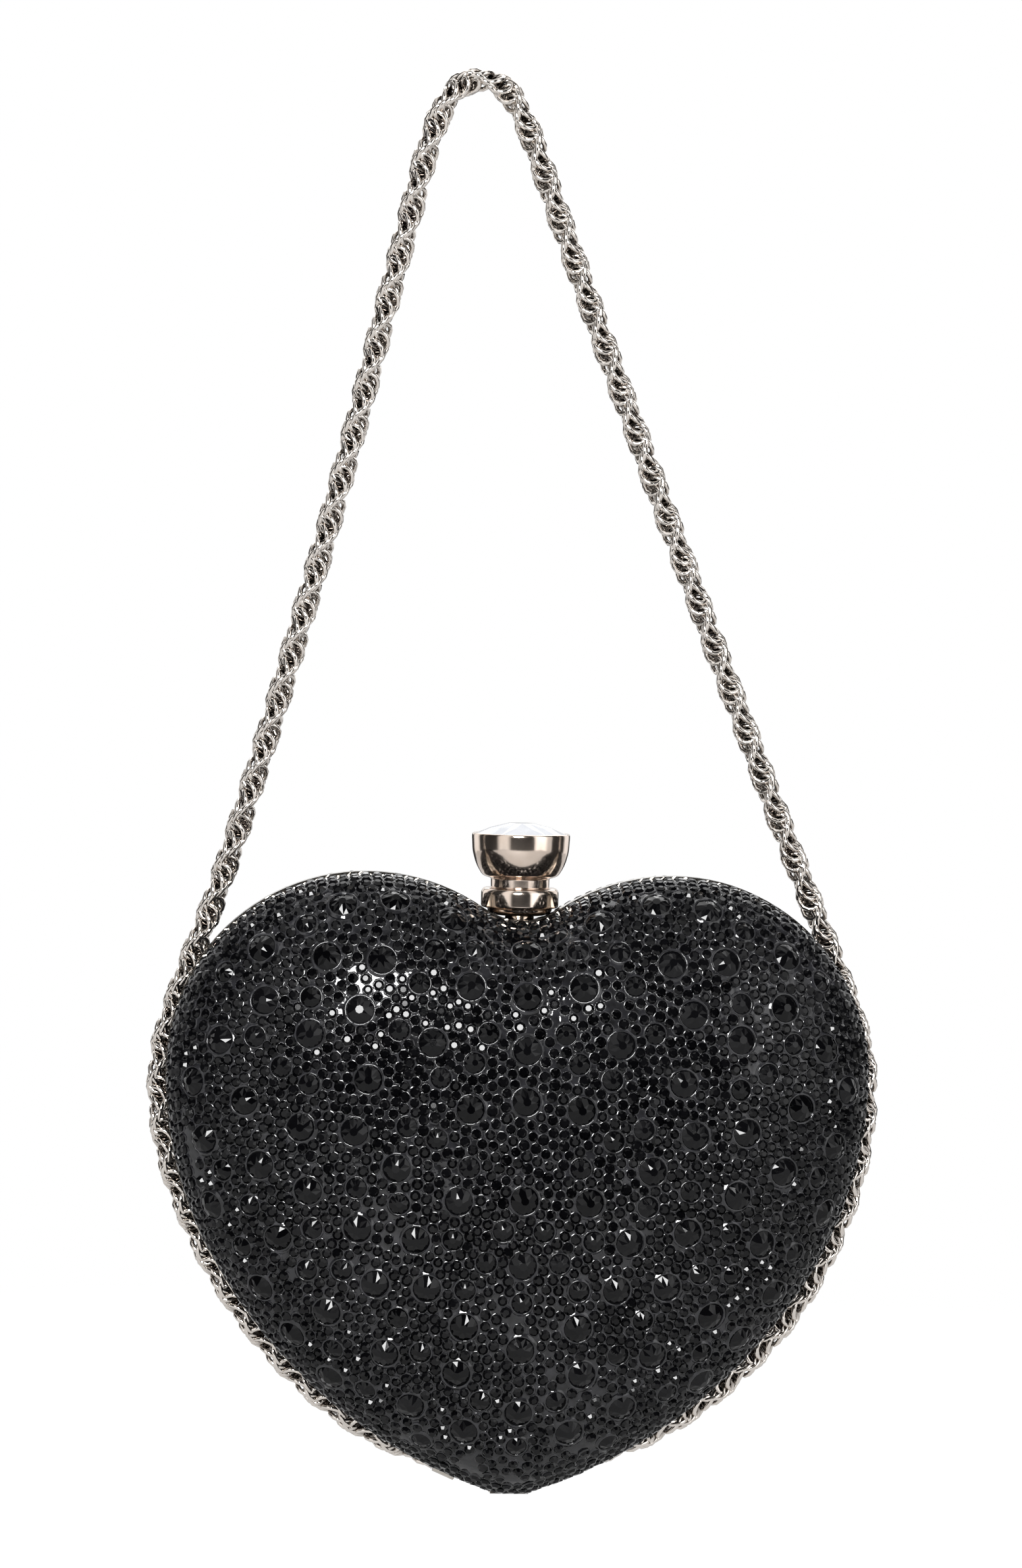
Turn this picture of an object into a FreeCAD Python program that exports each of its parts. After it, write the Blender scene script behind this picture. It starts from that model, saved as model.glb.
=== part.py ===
import FreeCAD, Part
import math
import os
import random
from FreeCAD import Vector

# Heart shaped hard-case evening bag on a rope chain, in millimetres.
# The bag is modelled with its tip at the origin, +Z up, the front towards -Y and the seam on y = 0.
# Each piece is then moved so that the origin is the point where the chain hangs.

# Heart outline, along the outer edge of the frame
heart_width = 165.0
heart_height = 145.5
lobe_radius = 46.5
notch_depth = 11.0
notch_radius = 15.0
tip_radius = 19.0
side_radius = 90.0
side_turn_deg = 60.0

# Depth of the case and the layers of each half
half_depth = 30.1
seam_gap = 0.3
frame_thickness = 1.6
frame_width = 5.5
flange_height = 4.0
flange_wall = 0.8
bed_setback = 0.9
bed_wall = 1.4
casing_wall = 1.6
lining_wall = 0.6
lining_gap = 0.8
lining_nut_margin = 2.0
glue_gap = 0.2
crown_height = 84.0
crown_flat_share = 0.12
fullness = 2.4
notch_fade_share = 0.55

# Large and medium stones that stand out of the bed
large_stone_radius = 3.2
large_stone_rise = 1.5
large_stone_room = 5.0
medium_stone_radius = 2.4
medium_stone_rise = 1.2
medium_stone_room = 2.6
stone_table_share = 0.32
stone_sink = 0.6
stone_rim_margin = 12.5
stone_tip_margin = 14.0
stone_sides = 8
stone_tries = 2500
stone_start = 11

# Where the chain hangs, from the tip
hang_drop = 327.0
hang_lean = 13.8

# Hinge at the tip
hinge_height = 1.0
barrel_radius = 1.5
pin_radius = 0.75
pin_clearance = 0.05
pin_head_radius = 1.1
pin_head_length = 0.4
knuckle_rear_length = 2.6
knuckle_front_length = 3.4
knuckle_gap = 0.2
hinge_relief = 0.3
relief_side_room = 3.5
web_gap = 0.1
rivet_radius = 0.4
rivet_depth = 1.6

# Clasp
clasp_setback = 5.4
collar_radius = 9.1
collar_height = 6.6
collar_wall_height = 3.6
collar_lift = 0.8
collar_edge = 0.7
tube_radius = 3.4
tube_reach = 9.0
stem_radius = 2.0
stem_clearance = 0.05
stem_reach = 21.4
neck_radius = 6.85
neck_sink = 0.3
neck_clearance = 0.15
press_travel = 1.8
press_margin = 0.4
spring_room = 1.8
cup_radius = 11.3
cup_waist_radius = 10.5
cup_height = 10.6
cup_round_height = 5.2
cup_round_share = 0.72
cup_lip = 0.7
cup_lip_drop = 0.5
crystal_seat_depth = 2.6
crystal_clearance = 0.1
crystal_rise = 2.4
crystal_girdle = 0.5
crystal_table_share = 0.5
crystal_shoulder_share = 0.86
crystal_shoulder_rise_share = 0.62
crystal_sides = 12
nut_corner_radius = 5.6
nut_thickness = 2.2
nut_drop = 1.8
wall_hole_clearance = 0.2
spring_radius = 4.6
spring_wire = 0.45
spring_turns = 2.5
spring_seat = 0.05

# Latch on the stem and its catch on the front frame
latch_width = 5.0
latch_thickness = 1.2
latch_eye_radius = 3.6
latch_pin_radius = 1.3
latch_nose_back = 0.6
latch_nose_depth = 1.2
latch_lip_gap = 0.3
latch_lip_depth = 1.2
latch_lip_clearance = 0.5
latch_arm_gap = 0.8
latch_arm_thickness = 1.0
strike_width = 8.0
strike_foot_depth = 3.2
strike_foot_setback = 0.3
strike_seat = 0.05
strike_rivet_spacing = 5.0
strike_rivet_sink = 1.4
clip_radius = 2.6
clip_thickness = 0.6
clip_gap = 0.1

# Anchor of the chain at the bottom of the back
anchor_row = 2
anchor_shaft_radius = 1.6
anchor_shaft_reach = 6.0
anchor_collar_radius = 3.0
anchor_collar_height = 1.0
anchor_collar_gap = 0.3
anchor_eye_height = 3.4
anchor_eye_thickness = 1.6
anchor_eye_spacing = 6.8
anchor_eye_margin = 1.9
anchor_hole_radius = 1.1
anchor_nut_radius = 3.2
anchor_nut_thickness = 1.8
anchor_nut_drop = 3.7
ring_radius = 2.8
ring_wire = 1.1
cap_radius = 3.5
cap_tab_thickness = 1.2
cap_tab_margin = 1.6
cap_body_start = 2.3
cap_gap = 0.3

# Chain, along its middle line in the finished frame
chain_radius = 3.1
arc_share = 0.45
chain_route = [
    (-2.5, 15.0, -321.4),
    (-14.2, 14.5, -316.6),
    (-28.2, 13.5, -308.0),
    (-40.7, 12.5, -297.2),
    (-52.2, 12.0, -283.8),
    (-62.2, 12.0, -267.0),
    (-68.8, 12.0, -247.8),
    (-70.6, 12.0, -229.0),
    (-66.8, 12.0, -213.5),
    (-54.5, 10.3, -181.0),
    (-32.6, 5.6, -98.0),
    (-8.6, 0.5, -0.5),
    (0.0, 0.0, 4.0),
    (9.1, 0.5, 0.7),
    (46.8, 5.6, -98.0),
    (80.4, 10.3, -181.0),
    (94.4, 12.0, -213.5),
    (98.2, 12.0, -229.0),
    (96.4, 12.0, -247.8),
    (89.8, 12.0, -267.0),
    (79.8, 12.0, -283.8),
    (68.3, 12.5, -297.2),
    (55.8, 13.5, -308.0),
    (41.8, 14.5, -316.6),
    (30.1, 15.0, -321.4),
]

# One overrun serves every cut
overrun = 1.0

# Places that follow from the sizes above
seam_y = seam_gap / 2
rim_y = seam_y + frame_thickness
notch_z = heart_height - notch_depth
lobe_offset = heart_width / 2 - lobe_radius
casing_setback = bed_setback + bed_wall + glue_gap
flange_setback = frame_width - flange_wall
lining_setback = frame_width + glue_gap
bed_depth = half_depth - rim_y
casing_depth = bed_depth - bed_wall - glue_gap
lining_depth = casing_depth - casing_wall - lining_gap
to_hang_frame = Vector(hang_lean, 0, -hang_drop)

axis_x = Vector(1, 0, 0)
axis_y = Vector(0, 1, 0)
axis_z = Vector(0, 0, 1)
origin = Vector(0, 0, 0)


def on_circle(centre, radius, angle):
    return (centre[0] + radius * math.cos(angle), centre[1] + radius * math.sin(angle))


def heart_arcs(inset):
    """Tangent arcs of the right half from the tip to the notch: centre, signed radius, start and end angle.

    The angles are those of the outward normal, and the notch, which is hollow, has a negative radius.
    """
    inner_radius = (lobe_offset**2 + notch_depth**2) / (2 * notch_depth) - notch_radius
    wide_z = heart_height - lobe_radius
    side_centre = Vector(heart_width / 2 - side_radius, wide_z, 0)
    tip_centre = Vector(0, tip_radius, 0)
    turn = math.radians(side_turn_deg)
    turn_normal = Vector(math.sin(turn), -math.cos(turn), 0)
    apart = side_centre - tip_centre
    along = apart.dot(turn_normal)
    flank_radius = (apart.dot(apart) + 2 * side_radius * along + side_radius**2 - tip_radius**2) / (
        2 * (along + side_radius - tip_radius)
    )
    flank_centre = side_centre - turn_normal * (flank_radius - side_radius)
    to_tip = tip_centre - flank_centre
    down, flat, up = -math.pi / 2, 0, math.pi / 2
    tip_angle = math.atan2(to_tip.y, to_tip.x)
    turn_angle = turn + down
    notch_angle = up + math.asin(lobe_offset / (notch_radius + inner_radius))
    return [
        ((0, tip_radius), tip_radius - inset, down, tip_angle),
        ((flank_centre.x, flank_centre.y), flank_radius - inset, tip_angle, turn_angle),
        ((side_centre.x, side_centre.y), side_radius - inset, turn_angle, flat),
        ((lobe_offset, wide_z), lobe_radius - inset, flat, up),
        ((lobe_offset, heart_height - inner_radius), inner_radius - inset, up, notch_angle),
        ((0, notch_z + notch_radius), -notch_radius - inset, notch_angle, up),
    ]


def heart_face(inset, y):
    edges = []
    for centre, radius, start, end in heart_arcs(inset):
        marks = [on_circle(centre, radius, start + (end - start) * share) for share in (0, 0.5, 1)]
        for side in (1, -1):
            edges.append(Part.Arc(*[Vector(side * x, y, z) for x, z in marks]).toShape())
    return Part.Face(Part.Wire(Part.__sortEdges__(edges)))


def heart_prism(inset, y_start, y_end):
    return heart_face(inset, y_start).extrude(Vector(0, y_end - y_start, 0))


def heart_ring(outer_inset, inner_inset, y_start, y_end):
    hollow = heart_prism(inner_inset, y_start - overrun, y_end + overrun)
    return heart_prism(outer_inset, y_start, y_end).cut(hollow)


# Points on each arc of a dome's outline, and the rows of outlines from the rim to the crown
outline_steps = (3, 8, 6, 8, 5, 3)
dome_rows = 9


def drawn_in(x, z, in_notch, inset, scale):
    """A point of the outline drawn in towards the crown, with the notch filling up on the way."""
    level = min(1.0, (1 - scale) / notch_fade_share)
    fill = level * level * (3 - 2 * level)
    if in_notch:
        z += fill * (heart_height - inset - z)
    return scale * x, crown_height + scale * (z - crown_height)


def dome_outline(inset, scale):
    """Points around one level of a dome."""
    right = []
    for number, ((centre, radius, start, end), steps) in enumerate(zip(heart_arcs(inset), outline_steps)):
        in_notch = number >= len(outline_steps) - 2
        for step in range(steps):
            x, z = on_circle(centre, radius, start + (end - start) * step / steps)
            right.append(drawn_in(x, z, in_notch, inset, scale))
    right.append(drawn_in(0.0, notch_z - inset, True, inset, scale))
    left = [(-x, z) for x, z in reversed(right[1:-1])]
    whole = right + left
    start = sum(outline_steps[:3])
    return whole[start:] + whole[:start]


def dome_level(up_share, depth):
    """Scale and height of one level of a dome whose profile is a superellipse."""
    power = 2 / fullness
    last_angle = math.acos(crown_flat_share ** (1 / power))
    angle = last_angle * up_share
    return math.cos(angle) ** power, rim_y + depth * math.sin(angle) ** power


def dome(inset, depth):
    """Solid under one smooth skin: closed outlines on every row, joined by smooth lines up to the crown."""
    levels = [dome_level(row / dome_rows, depth) for row in range(dome_rows + 1)]
    rows = [[Vector(x, y, z) for x, z in dome_outline(inset, scale)] for scale, y in levels]
    marks_around = [0.0]
    for point, next_point in zip(rows[0], rows[0][1:] + rows[0][:1]):
        marks_around.append(marks_around[-1] + point.distanceToPoint(next_point))
    outlines = []
    for points in rows:
        outline = Part.BSplineCurve()
        outline.interpolate(Points=points, PeriodicFlag=True, Parameters=marks_around)
        outlines.append(outline)
    marks_up = [0.0]
    for (scale, y), (next_scale, next_y) in zip(levels, levels[1:]):
        marks_up.append(marks_up[-1] + math.hypot((scale - next_scale) * crown_height, next_y - y))
    columns = []
    for poles in zip(*[outline.getPoles() for outline in outlines]):
        column = Part.BSplineCurve()
        column.interpolate(Points=list(poles), Parameters=marks_up)
        columns.append(column)
    around, upward = outlines[0], columns[0]
    skin = Part.BSplineSurface()
    skin.buildFromPolesMultsKnots(
        [column.getPoles() for column in columns],
        around.getMultiplicities(),
        upward.getMultiplicities(),
        around.getKnots(),
        upward.getKnots(),
        True,
        False,
        around.Degree,
        upward.Degree,
    )
    ends = [Part.Face(Part.Wire([outline.toShape()])) for outline in (outlines[0], outlines[-1])]
    shell = Part.makeShell([skin.toShape()] + ends)
    shell.sewShape()
    return Part.makeSolid(shell)


def turned(profile, centre_y):
    """A solid turned about the upright axis at x = 0 from points of radius and height."""
    points = [Vector(radius, centre_y, z) for radius, z in profile]
    face = Part.Face(Part.makePolygon(points + points[:1]))
    return face.revolve(Vector(0, centre_y, 0), axis_z, 360)


def block(x_half, y_start, y_end, z_start, z_end):
    corner = Vector(-x_half, y_start, z_start)
    return Part.makeBox(2 * x_half, y_end - y_start, z_end - z_start, corner)


def rod(radius, start, end):
    return Part.makeCylinder(radius, (end - start).Length, start, end - start)


def hexagon(corner_radius, z_start, thickness, sides=6):
    points = []
    for side in range(sides + 1):
        angle = 2 * math.pi * side / sides
        points.append(Vector(corner_radius * math.cos(angle), corner_radius * math.sin(angle), z_start))
    return Part.Face(Part.makePolygon(points)).extrude(Vector(0, 0, thickness))


def mirrored(shape):
    """The same piece on the front half."""
    return shape.mirror(origin, axis_y)


def save(name, shape):
    moved = shape.copy()
    moved.translate(to_hang_frame)
    moved.exportStep(os.path.join("parts", name + ".step"))
    print(name, "solids", len(moved.Solids), "valid", moved.isValid(), "volume", round(moved.Volume, 1))


# Layers of one half


def frame_half():
    """Flat rim on the seam with a flange that the casing fits round, relieved at the tip for the hinge."""
    rim = heart_ring(0, frame_width, seam_y, rim_y)
    flange = heart_ring(flange_setback, frame_width, rim_y, rim_y + flange_height)
    top = hinge_height + barrel_radius + hinge_relief
    half = barrel_half() + pin_head_length + relief_side_room
    relief = block(half, -overrun, rim_y + overrun, -overrun, top)
    return rim.fuse(flange).removeSplitter().cut(relief)


def bed_spot(way_share, up_share):
    """A point of the bed's skin, at a share of the way from the tip to the notch and from the rim to the crown."""
    arcs = heart_arcs(bed_setback)
    lengths = [abs(radius * (end - start)) for centre, radius, start, end in arcs]
    way = way_share * sum(lengths)
    number = 0
    while number < len(arcs) - 1 and way > lengths[number]:
        way -= lengths[number]
        number += 1
    centre, radius, start, end = arcs[number]
    x, z = on_circle(centre, radius, start + (end - start) * way / lengths[number])
    scale, y = dome_level(up_share, bed_depth)
    x, z = drawn_in(x, z, number >= len(arcs) - 2, bed_setback, scale)
    return Vector(x, y, z)


def stone_places():
    """Large stones, then medium ones, drawn on the right side: share of the way round and up, and their sizes.

    Each keeps its room to those before it, and one that would cross the middle is moved onto it.
    """
    draw = random.Random(stone_start)
    places = []
    for radius, rise, room in (
        (large_stone_radius, large_stone_rise, large_stone_room),
        (medium_stone_radius, medium_stone_rise, medium_stone_room),
    ):
        for number in range(stone_tries):
            way_share, up_share, chance = draw.random(), draw.random(), draw.random()
            point = bed_spot(way_share, up_share)
            scale, y = dome_level(up_share, bed_depth)
            if chance > scale or y < rim_y + stone_rim_margin or point.z < stone_tip_margin:
                continue
            if point.x < radius + room / 2:
                point.x = 0.0
            if all(point.distanceToPoint(other) > radius + size + room for other, size, height, normal in places):
                step_share = 1 / stone_tries
                around = bed_spot(way_share + step_share, up_share) - bed_spot(way_share - step_share, up_share)
                upward = bed_spot(way_share, up_share + step_share) - bed_spot(way_share, up_share - step_share)
                normal = upward.cross(around).normalize()
                if point.x == 0:
                    normal = Vector(0, normal.y, normal.z).normalize()
                places.append((point, radius, rise, normal))
    return places


def cut_stone(point, radius, rise, normal):
    """Crown of a stone: flat facets from below the skin up to a small table."""
    side = normal.cross(axis_x if abs(normal.x) < abs(normal.z) else axis_z).normalize()
    other = normal.cross(side)
    table_radius = radius * stone_table_share
    rings = []
    for height, size in ((-stone_sink, radius + stone_sink * (radius - table_radius) / rise), (rise, table_radius)):
        turns = [2 * math.pi * number / stone_sides for number in range(stone_sides)]
        middle = point + normal * height
        rings.append([middle + side * (size * math.cos(turn)) + other * (size * math.sin(turn)) for turn in turns])
    low, high = rings
    outlines = [low[::-1], high]
    for number in range(stone_sides):
        after = (number + 1) % stone_sides
        outlines.append([low[number], low[after], high[after], high[number]])
    faces = [Part.Face(Part.makePolygon(outline + outline[:1])) for outline in outlines]
    return Part.makeSolid(Part.makeShell(faces))


def bed_half():
    """Resin shell with the stones that stand out of it."""
    stones = []
    for point, radius, rise, normal in stone_places():
        stones.append(cut_stone(point, radius, rise, normal))
        if point.x > 0:
            stones.append(stones[-1].mirror(origin, axis_x))
    print("stones on each half", len(stones))
    shell = dome(bed_setback, bed_depth).cut(dome(bed_setback + bed_wall, bed_depth - bed_wall))
    return shell.fuse(stones)


def casing_half():
    outside = dome(casing_setback, casing_depth)
    return outside.cut(dome(casing_setback + casing_wall, casing_depth - casing_wall))


def lining_half():
    outside = dome(lining_setback, lining_depth)
    return outside.cut(dome(lining_setback + lining_wall, lining_depth - lining_wall))


# Hinge


def barrel_half():
    return knuckle_front_length / 2 + knuckle_gap + knuckle_rear_length


def knuckle(x_start, x_end):
    """A hinge knuckle and the web that carries it in the frame's relief."""
    barrel = rod(barrel_radius, Vector(x_start, 0, hinge_height), Vector(x_end, 0, hinge_height))
    web_top = hinge_height + barrel_radius + hinge_relief - web_gap
    corner = Vector(x_start, seam_y + web_gap, hinge_height)
    web = Part.makeBox(x_end - x_start, frame_thickness - web_gap, web_top - hinge_height, corner)
    bore_start = Vector(x_start - overrun, 0, hinge_height)
    bore_end = Vector(x_end + overrun, 0, hinge_height)
    bore = rod(pin_radius + pin_clearance, bore_start, bore_end)
    return barrel.fuse(web).removeSplitter().cut(bore)


def hinge_rivet(x):
    """A pin across the joint between a knuckle's web and the frame above it."""
    y = seam_y + (frame_thickness + web_gap) / 2
    seat = hinge_height + barrel_radius + hinge_relief
    top = seat + rivet_depth
    bottom = seat - rivet_depth + hinge_relief
    return rod(rivet_radius, Vector(x, y, bottom), Vector(x, y, top))


def hinge_pin():
    half = barrel_half()
    pin = rod(pin_radius, Vector(-half, 0, hinge_height), Vector(half, 0, hinge_height))
    for side in (1, -1):
        start = Vector(side * half, 0, hinge_height)
        end = Vector(side * (half + pin_head_length), 0, hinge_height)
        pin = pin.fuse(rod(pin_head_radius, start, end))
    return pin.removeSplitter()


rear_knuckle_middle = knuckle_front_length / 2 + knuckle_gap + knuckle_rear_length / 2
rear_rivet_places = (-rear_knuckle_middle, rear_knuckle_middle)
front_rivet_places = (-knuckle_front_length / 4, knuckle_front_length / 4)

# Clasp heights

collar_under = notch_z + collar_lift
collar_top = collar_under + collar_height
neck_bottom = collar_top - neck_sink
well_floor = neck_bottom - press_travel - spring_room
cup_bottom = collar_top + press_travel + press_margin
cup_rim = cup_bottom + cup_height
crystal_seat = cup_rim - crystal_seat_depth
tube_bottom = collar_under - tube_reach
casing_inside = notch_z - casing_setback - casing_wall
nut_top = casing_inside - nut_drop
stem_bottom = neck_bottom - stem_reach


def clasp_base():
    """Collar whose underside follows the slopes of the notch, with a tube down through the wall."""
    shoulder = collar_top - collar_wall_height
    bore = stem_radius + stem_clearance
    profile = [
        (bore, tube_bottom),
        (tube_radius, tube_bottom),
        (tube_radius, collar_under),
        (collar_radius - collar_edge, shoulder - collar_edge),
        (collar_radius, shoulder),
        (collar_radius, collar_top - collar_edge),
        (collar_radius - collar_edge, collar_top),
        (neck_radius + neck_clearance, collar_top),
        (neck_radius + neck_clearance, well_floor),
        (bore, well_floor),
    ]
    return turned(profile, clasp_setback)


def clasp_nut():
    nut = hexagon(nut_corner_radius, nut_top - nut_thickness, nut_thickness)
    hole_start = Vector(0, 0, tube_bottom - overrun)
    hole_end = Vector(0, 0, nut_top + overrun)
    nut = nut.cut(rod(tube_radius + stem_clearance, hole_start, hole_end))
    nut.translate(Vector(0, clasp_setback, 0))
    return nut


def clasp_knob():
    """Cup with a rounded bottom on a short neck, and the stem that slides in the collar."""
    seat = cup_radius - cup_lip
    round_radius = neck_radius + (cup_waist_radius - neck_radius) * cup_round_share
    round_z = cup_bottom + cup_round_height * (1 - cup_round_share)
    latch_seat = stem_bottom + clip_thickness + clip_gap + latch_thickness
    profile = [
        (0, stem_bottom - clip_gap - clip_thickness),
        (latch_pin_radius, stem_bottom - clip_gap - clip_thickness),
        (latch_pin_radius, latch_seat),
        (stem_radius, latch_seat),
        (stem_radius, neck_bottom),
        (neck_radius, neck_bottom),
        (neck_radius, cup_bottom),
        (round_radius, round_z),
        (cup_waist_radius, cup_bottom + cup_round_height),
        (cup_radius, cup_rim - cup_lip_drop),
        (cup_radius - cup_lip_drop, cup_rim),
        (seat, cup_rim),
        (seat, crystal_seat),
        (0, crystal_seat),
    ]
    return turned(profile, clasp_setback)


def crystal_ring(radius, z):
    points = []
    for side in range(crystal_sides + 1):
        angle = 2 * math.pi * side / crystal_sides
        points.append(Vector(radius * math.cos(angle), clasp_setback + radius * math.sin(angle), z))
    return Part.makePolygon(points)


def clasp_crystal():
    """Cut stone in the cup: a girdle, a ring of sloping facets, a flatter ring and a flat table."""
    girdle = cup_radius - cup_lip - crystal_clearance
    bottom = crystal_seat + crystal_clearance
    girdle_top = cup_rim - cup_lip_drop + crystal_girdle
    top = cup_rim + crystal_rise
    shoulder_z = girdle_top + (top - girdle_top) * crystal_shoulder_rise_share
    rings = [
        crystal_ring(girdle, bottom),
        crystal_ring(girdle, girdle_top),
        crystal_ring(girdle * crystal_shoulder_share, shoulder_z),
        crystal_ring(girdle * crystal_table_share, top),
    ]
    return Part.makeLoft(rings, True, True)


def clasp_spring():
    """Compression spring in the collar's well, one quarter turn to each arc."""
    wire_radius = spring_wire / 2
    bottom = well_floor + wire_radius + spring_seat
    top = neck_bottom - wire_radius - spring_seat
    quarters = round(4 * spring_turns)

    def place(quarter):
        angle = math.pi / 2 * quarter
        z = bottom + (top - bottom) * quarter / quarters
        return Vector(spring_radius * math.cos(angle), clasp_setback + spring_radius * math.sin(angle), z)

    edges = [Part.Arc(place(q), place(q + 0.5), place(q + 1)).toShape() for q in range(quarters)]
    path = Part.Wire(edges)
    start = edges[0]
    circle = Part.makeCircle(wire_radius, place(0), start.tangentAt(start.FirstParameter))
    return path.makePipeShell([Part.Wire([circle])], True, False)


# Latch heights

latch_bottom = stem_bottom + clip_thickness
latch_top = latch_bottom + latch_thickness
lip_bottom = latch_top + latch_lip_clearance
nose_top = lip_bottom + press_travel - press_margin
arm_bottom = nose_top + latch_arm_gap
arm_top = arm_bottom + latch_arm_thickness
lip_start = latch_nose_back + latch_lip_gap
foot_top = notch_z - frame_width - strike_seat


def latch_pin_hole():
    start = Vector(0, clasp_setback, stem_bottom - clip_thickness - overrun)
    end = Vector(0, clasp_setback, latch_top + overrun)
    return rod(latch_pin_radius + stem_clearance, start, end)


def latch_hook():
    """Plate on the stem's end, with an upright nose that stands in front of the strike's lip."""
    centre = Vector(0, clasp_setback, latch_bottom)
    eye = Part.makeCylinder(latch_eye_radius, latch_thickness, centre)
    nose_front = latch_nose_back - latch_nose_depth
    arm = block(latch_width / 2, nose_front, clasp_setback, latch_bottom, latch_top)
    nose = block(latch_width / 2, nose_front, latch_nose_back, latch_bottom, nose_top)
    return eye.fuse([arm, nose]).removeSplitter().cut(latch_pin_hole())


def latch_clip():
    centre = Vector(0, clasp_setback, latch_bottom - clip_gap - clip_thickness)
    ring = Part.makeCylinder(clip_radius, clip_thickness, centre)
    return ring.cut(latch_pin_hole())


def strike_foot_start():
    return -(rim_y + strike_foot_setback + strike_foot_depth)


def strike_rivet(x):
    y = strike_foot_start() + strike_foot_depth / 2
    top = notch_z - flange_setback
    return rod(rivet_radius, Vector(x, y, foot_top - strike_rivet_sink), Vector(x, y, top))


def strike_plate():
    """Catch under the front flange: a foot, an arm over the seam and a lip down behind the nose."""
    foot_start = strike_foot_start()
    foot = block(strike_width / 2, foot_start, foot_start + strike_foot_depth, arm_bottom, foot_top)
    arm = block(latch_width / 2, foot_start, lip_start + latch_lip_depth, arm_bottom, arm_top)
    lip = block(latch_width / 2, lip_start, lip_start + latch_lip_depth, lip_bottom, arm_top)
    return foot.fuse([arm, lip]).removeSplitter()


strike_rivet_places = (-strike_rivet_spacing / 2, strike_rivet_spacing / 2)

# Chain anchor, built upright with its seat at the origin and then set square on the back's wall

anchor_hole_drop = anchor_collar_gap + anchor_collar_height + anchor_eye_height / 2


def anchor_seat():
    """The place and slope of the wall in the middle of the back, on one row of the stone bed's dome."""
    scale, y = dome_level(anchor_row / dome_rows, bed_depth)
    before, y_before = dome_level((anchor_row - 0.5) / dome_rows, bed_depth)
    after, y_after = dome_level((anchor_row + 0.5) / dome_rows, bed_depth)
    reach = crown_height - bed_setback
    slope = math.atan2((before - after) * reach, y_after - y_before)
    return Vector(0, y, crown_height - scale * reach), math.degrees(slope)


def on_wall(shape):
    place, slope = anchor_seat()
    shape = shape.copy()
    shape.rotate(origin, axis_x, slope)
    shape.translate(place)
    return shape


def point_on_wall(point):
    return on_wall(Part.Vertex(point)).Point


def chain_anchor():
    """Stud through the wall, with a collar outside and a flat eye plate that has two holes."""
    shaft = rod(anchor_shaft_radius, Vector(0, 0, anchor_shaft_reach), Vector(0, 0, -anchor_collar_gap))
    collar_end = anchor_collar_gap + anchor_collar_height
    collar = rod(anchor_collar_radius, Vector(0, 0, -anchor_collar_gap), Vector(0, 0, -collar_end))
    half = anchor_eye_spacing / 2 + anchor_eye_margin
    depth = anchor_eye_thickness / 2
    eye = block(half, -depth, depth, -collar_end - anchor_eye_height, -collar_end)
    stud = shaft.fuse([collar, eye]).removeSplitter()
    for side in (1, -1):
        middle = Vector(side * anchor_eye_spacing / 2, 0, -anchor_hole_drop)
        reach = Vector(0, depth + overrun, 0)
        stud = stud.cut(rod(anchor_hole_radius, middle - reach, middle + reach))
    return on_wall(stud)


def anchor_nut():
    nut = hexagon(anchor_nut_radius, anchor_nut_drop, anchor_nut_thickness)
    end = anchor_nut_drop + anchor_nut_thickness + overrun
    hole = rod(anchor_shaft_radius + stem_clearance, origin, Vector(0, 0, end))
    return on_wall(nut.cut(hole))


def anchor_cut(radius, start, end):
    return on_wall(rod(radius, Vector(0, 0, start), Vector(0, 0, end)))


def chain_ring(side):
    middle = Vector(side * (anchor_eye_spacing / 2 + ring_radius), 0, -anchor_hole_drop)
    return on_wall(Part.makeTorus(ring_radius, ring_wire / 2, middle, axis_z))


def chain_end_cap(side, chain_end):
    """Cup on the chain's end, with a flat tab whose hole the ring passes through."""
    hole = point_on_wall(Vector(side * (anchor_eye_spacing / 2 + 2 * ring_radius), 0, -anchor_hole_drop))
    length = (chain_end - hole).Length
    body = rod(cap_radius, Vector(0, 0, cap_body_start), Vector(0, 0, length - cap_gap))
    depth = cap_tab_thickness / 2
    tab = block(cap_tab_margin, -depth, depth, -cap_tab_margin, cap_body_start)
    reach = Vector(0, depth + overrun, 0)
    cap = body.fuse(tab).removeSplitter().cut(rod(anchor_hole_radius, origin - reach, origin + reach))
    across = point_on_wall(axis_y) - point_on_wall(origin)
    turn = FreeCAD.Rotation(Vector(), across, chain_end - hole, "ZYX")
    cap.Placement = FreeCAD.Placement(hole, turn)
    return cap


# Chain


def tube(points, radius):
    """Tube on straight runs joined by tangent arcs, each as large as its two runs allow."""
    edges = []
    radii = []
    start = points[0]
    for before, corner, after in zip(points, points[1:], points[2:]):
        back = (before - corner).normalize()
        ahead = (after - corner).normalize()
        half_turn = (math.pi - back.getAngle(ahead)) / 2
        reach = arc_share * min((before - corner).Length, (after - corner).Length)
        bend = reach / math.tan(half_turn)
        middle = (back + ahead).normalize()
        nearest = corner + middle * (bend / math.cos(half_turn) - bend)
        arc_start = corner + back * reach
        arc_end = corner + ahead * reach
        edges.append(Part.LineSegment(start, arc_start).toShape())
        edges.append(Part.Arc(arc_start, nearest, arc_end).toShape())
        radii.append(round(bend, 1))
        start = arc_end
    edges.append(Part.LineSegment(start, points[-1]).toShape())
    path = Part.Wire(edges)
    circle = Part.makeCircle(radius, points[0], points[1] - points[0])
    solid = path.makePipeShell([Part.Wire([circle])], True, False)
    plain = math.pi * radius**2 * path.Length
    print("chain length", round(path.Length, 1), "bend radii", radii)
    print("chain volume", round(solid.Volume, 1), "section times length", round(plain, 1))
    return solid


os.makedirs("parts", exist_ok=True)

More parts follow.
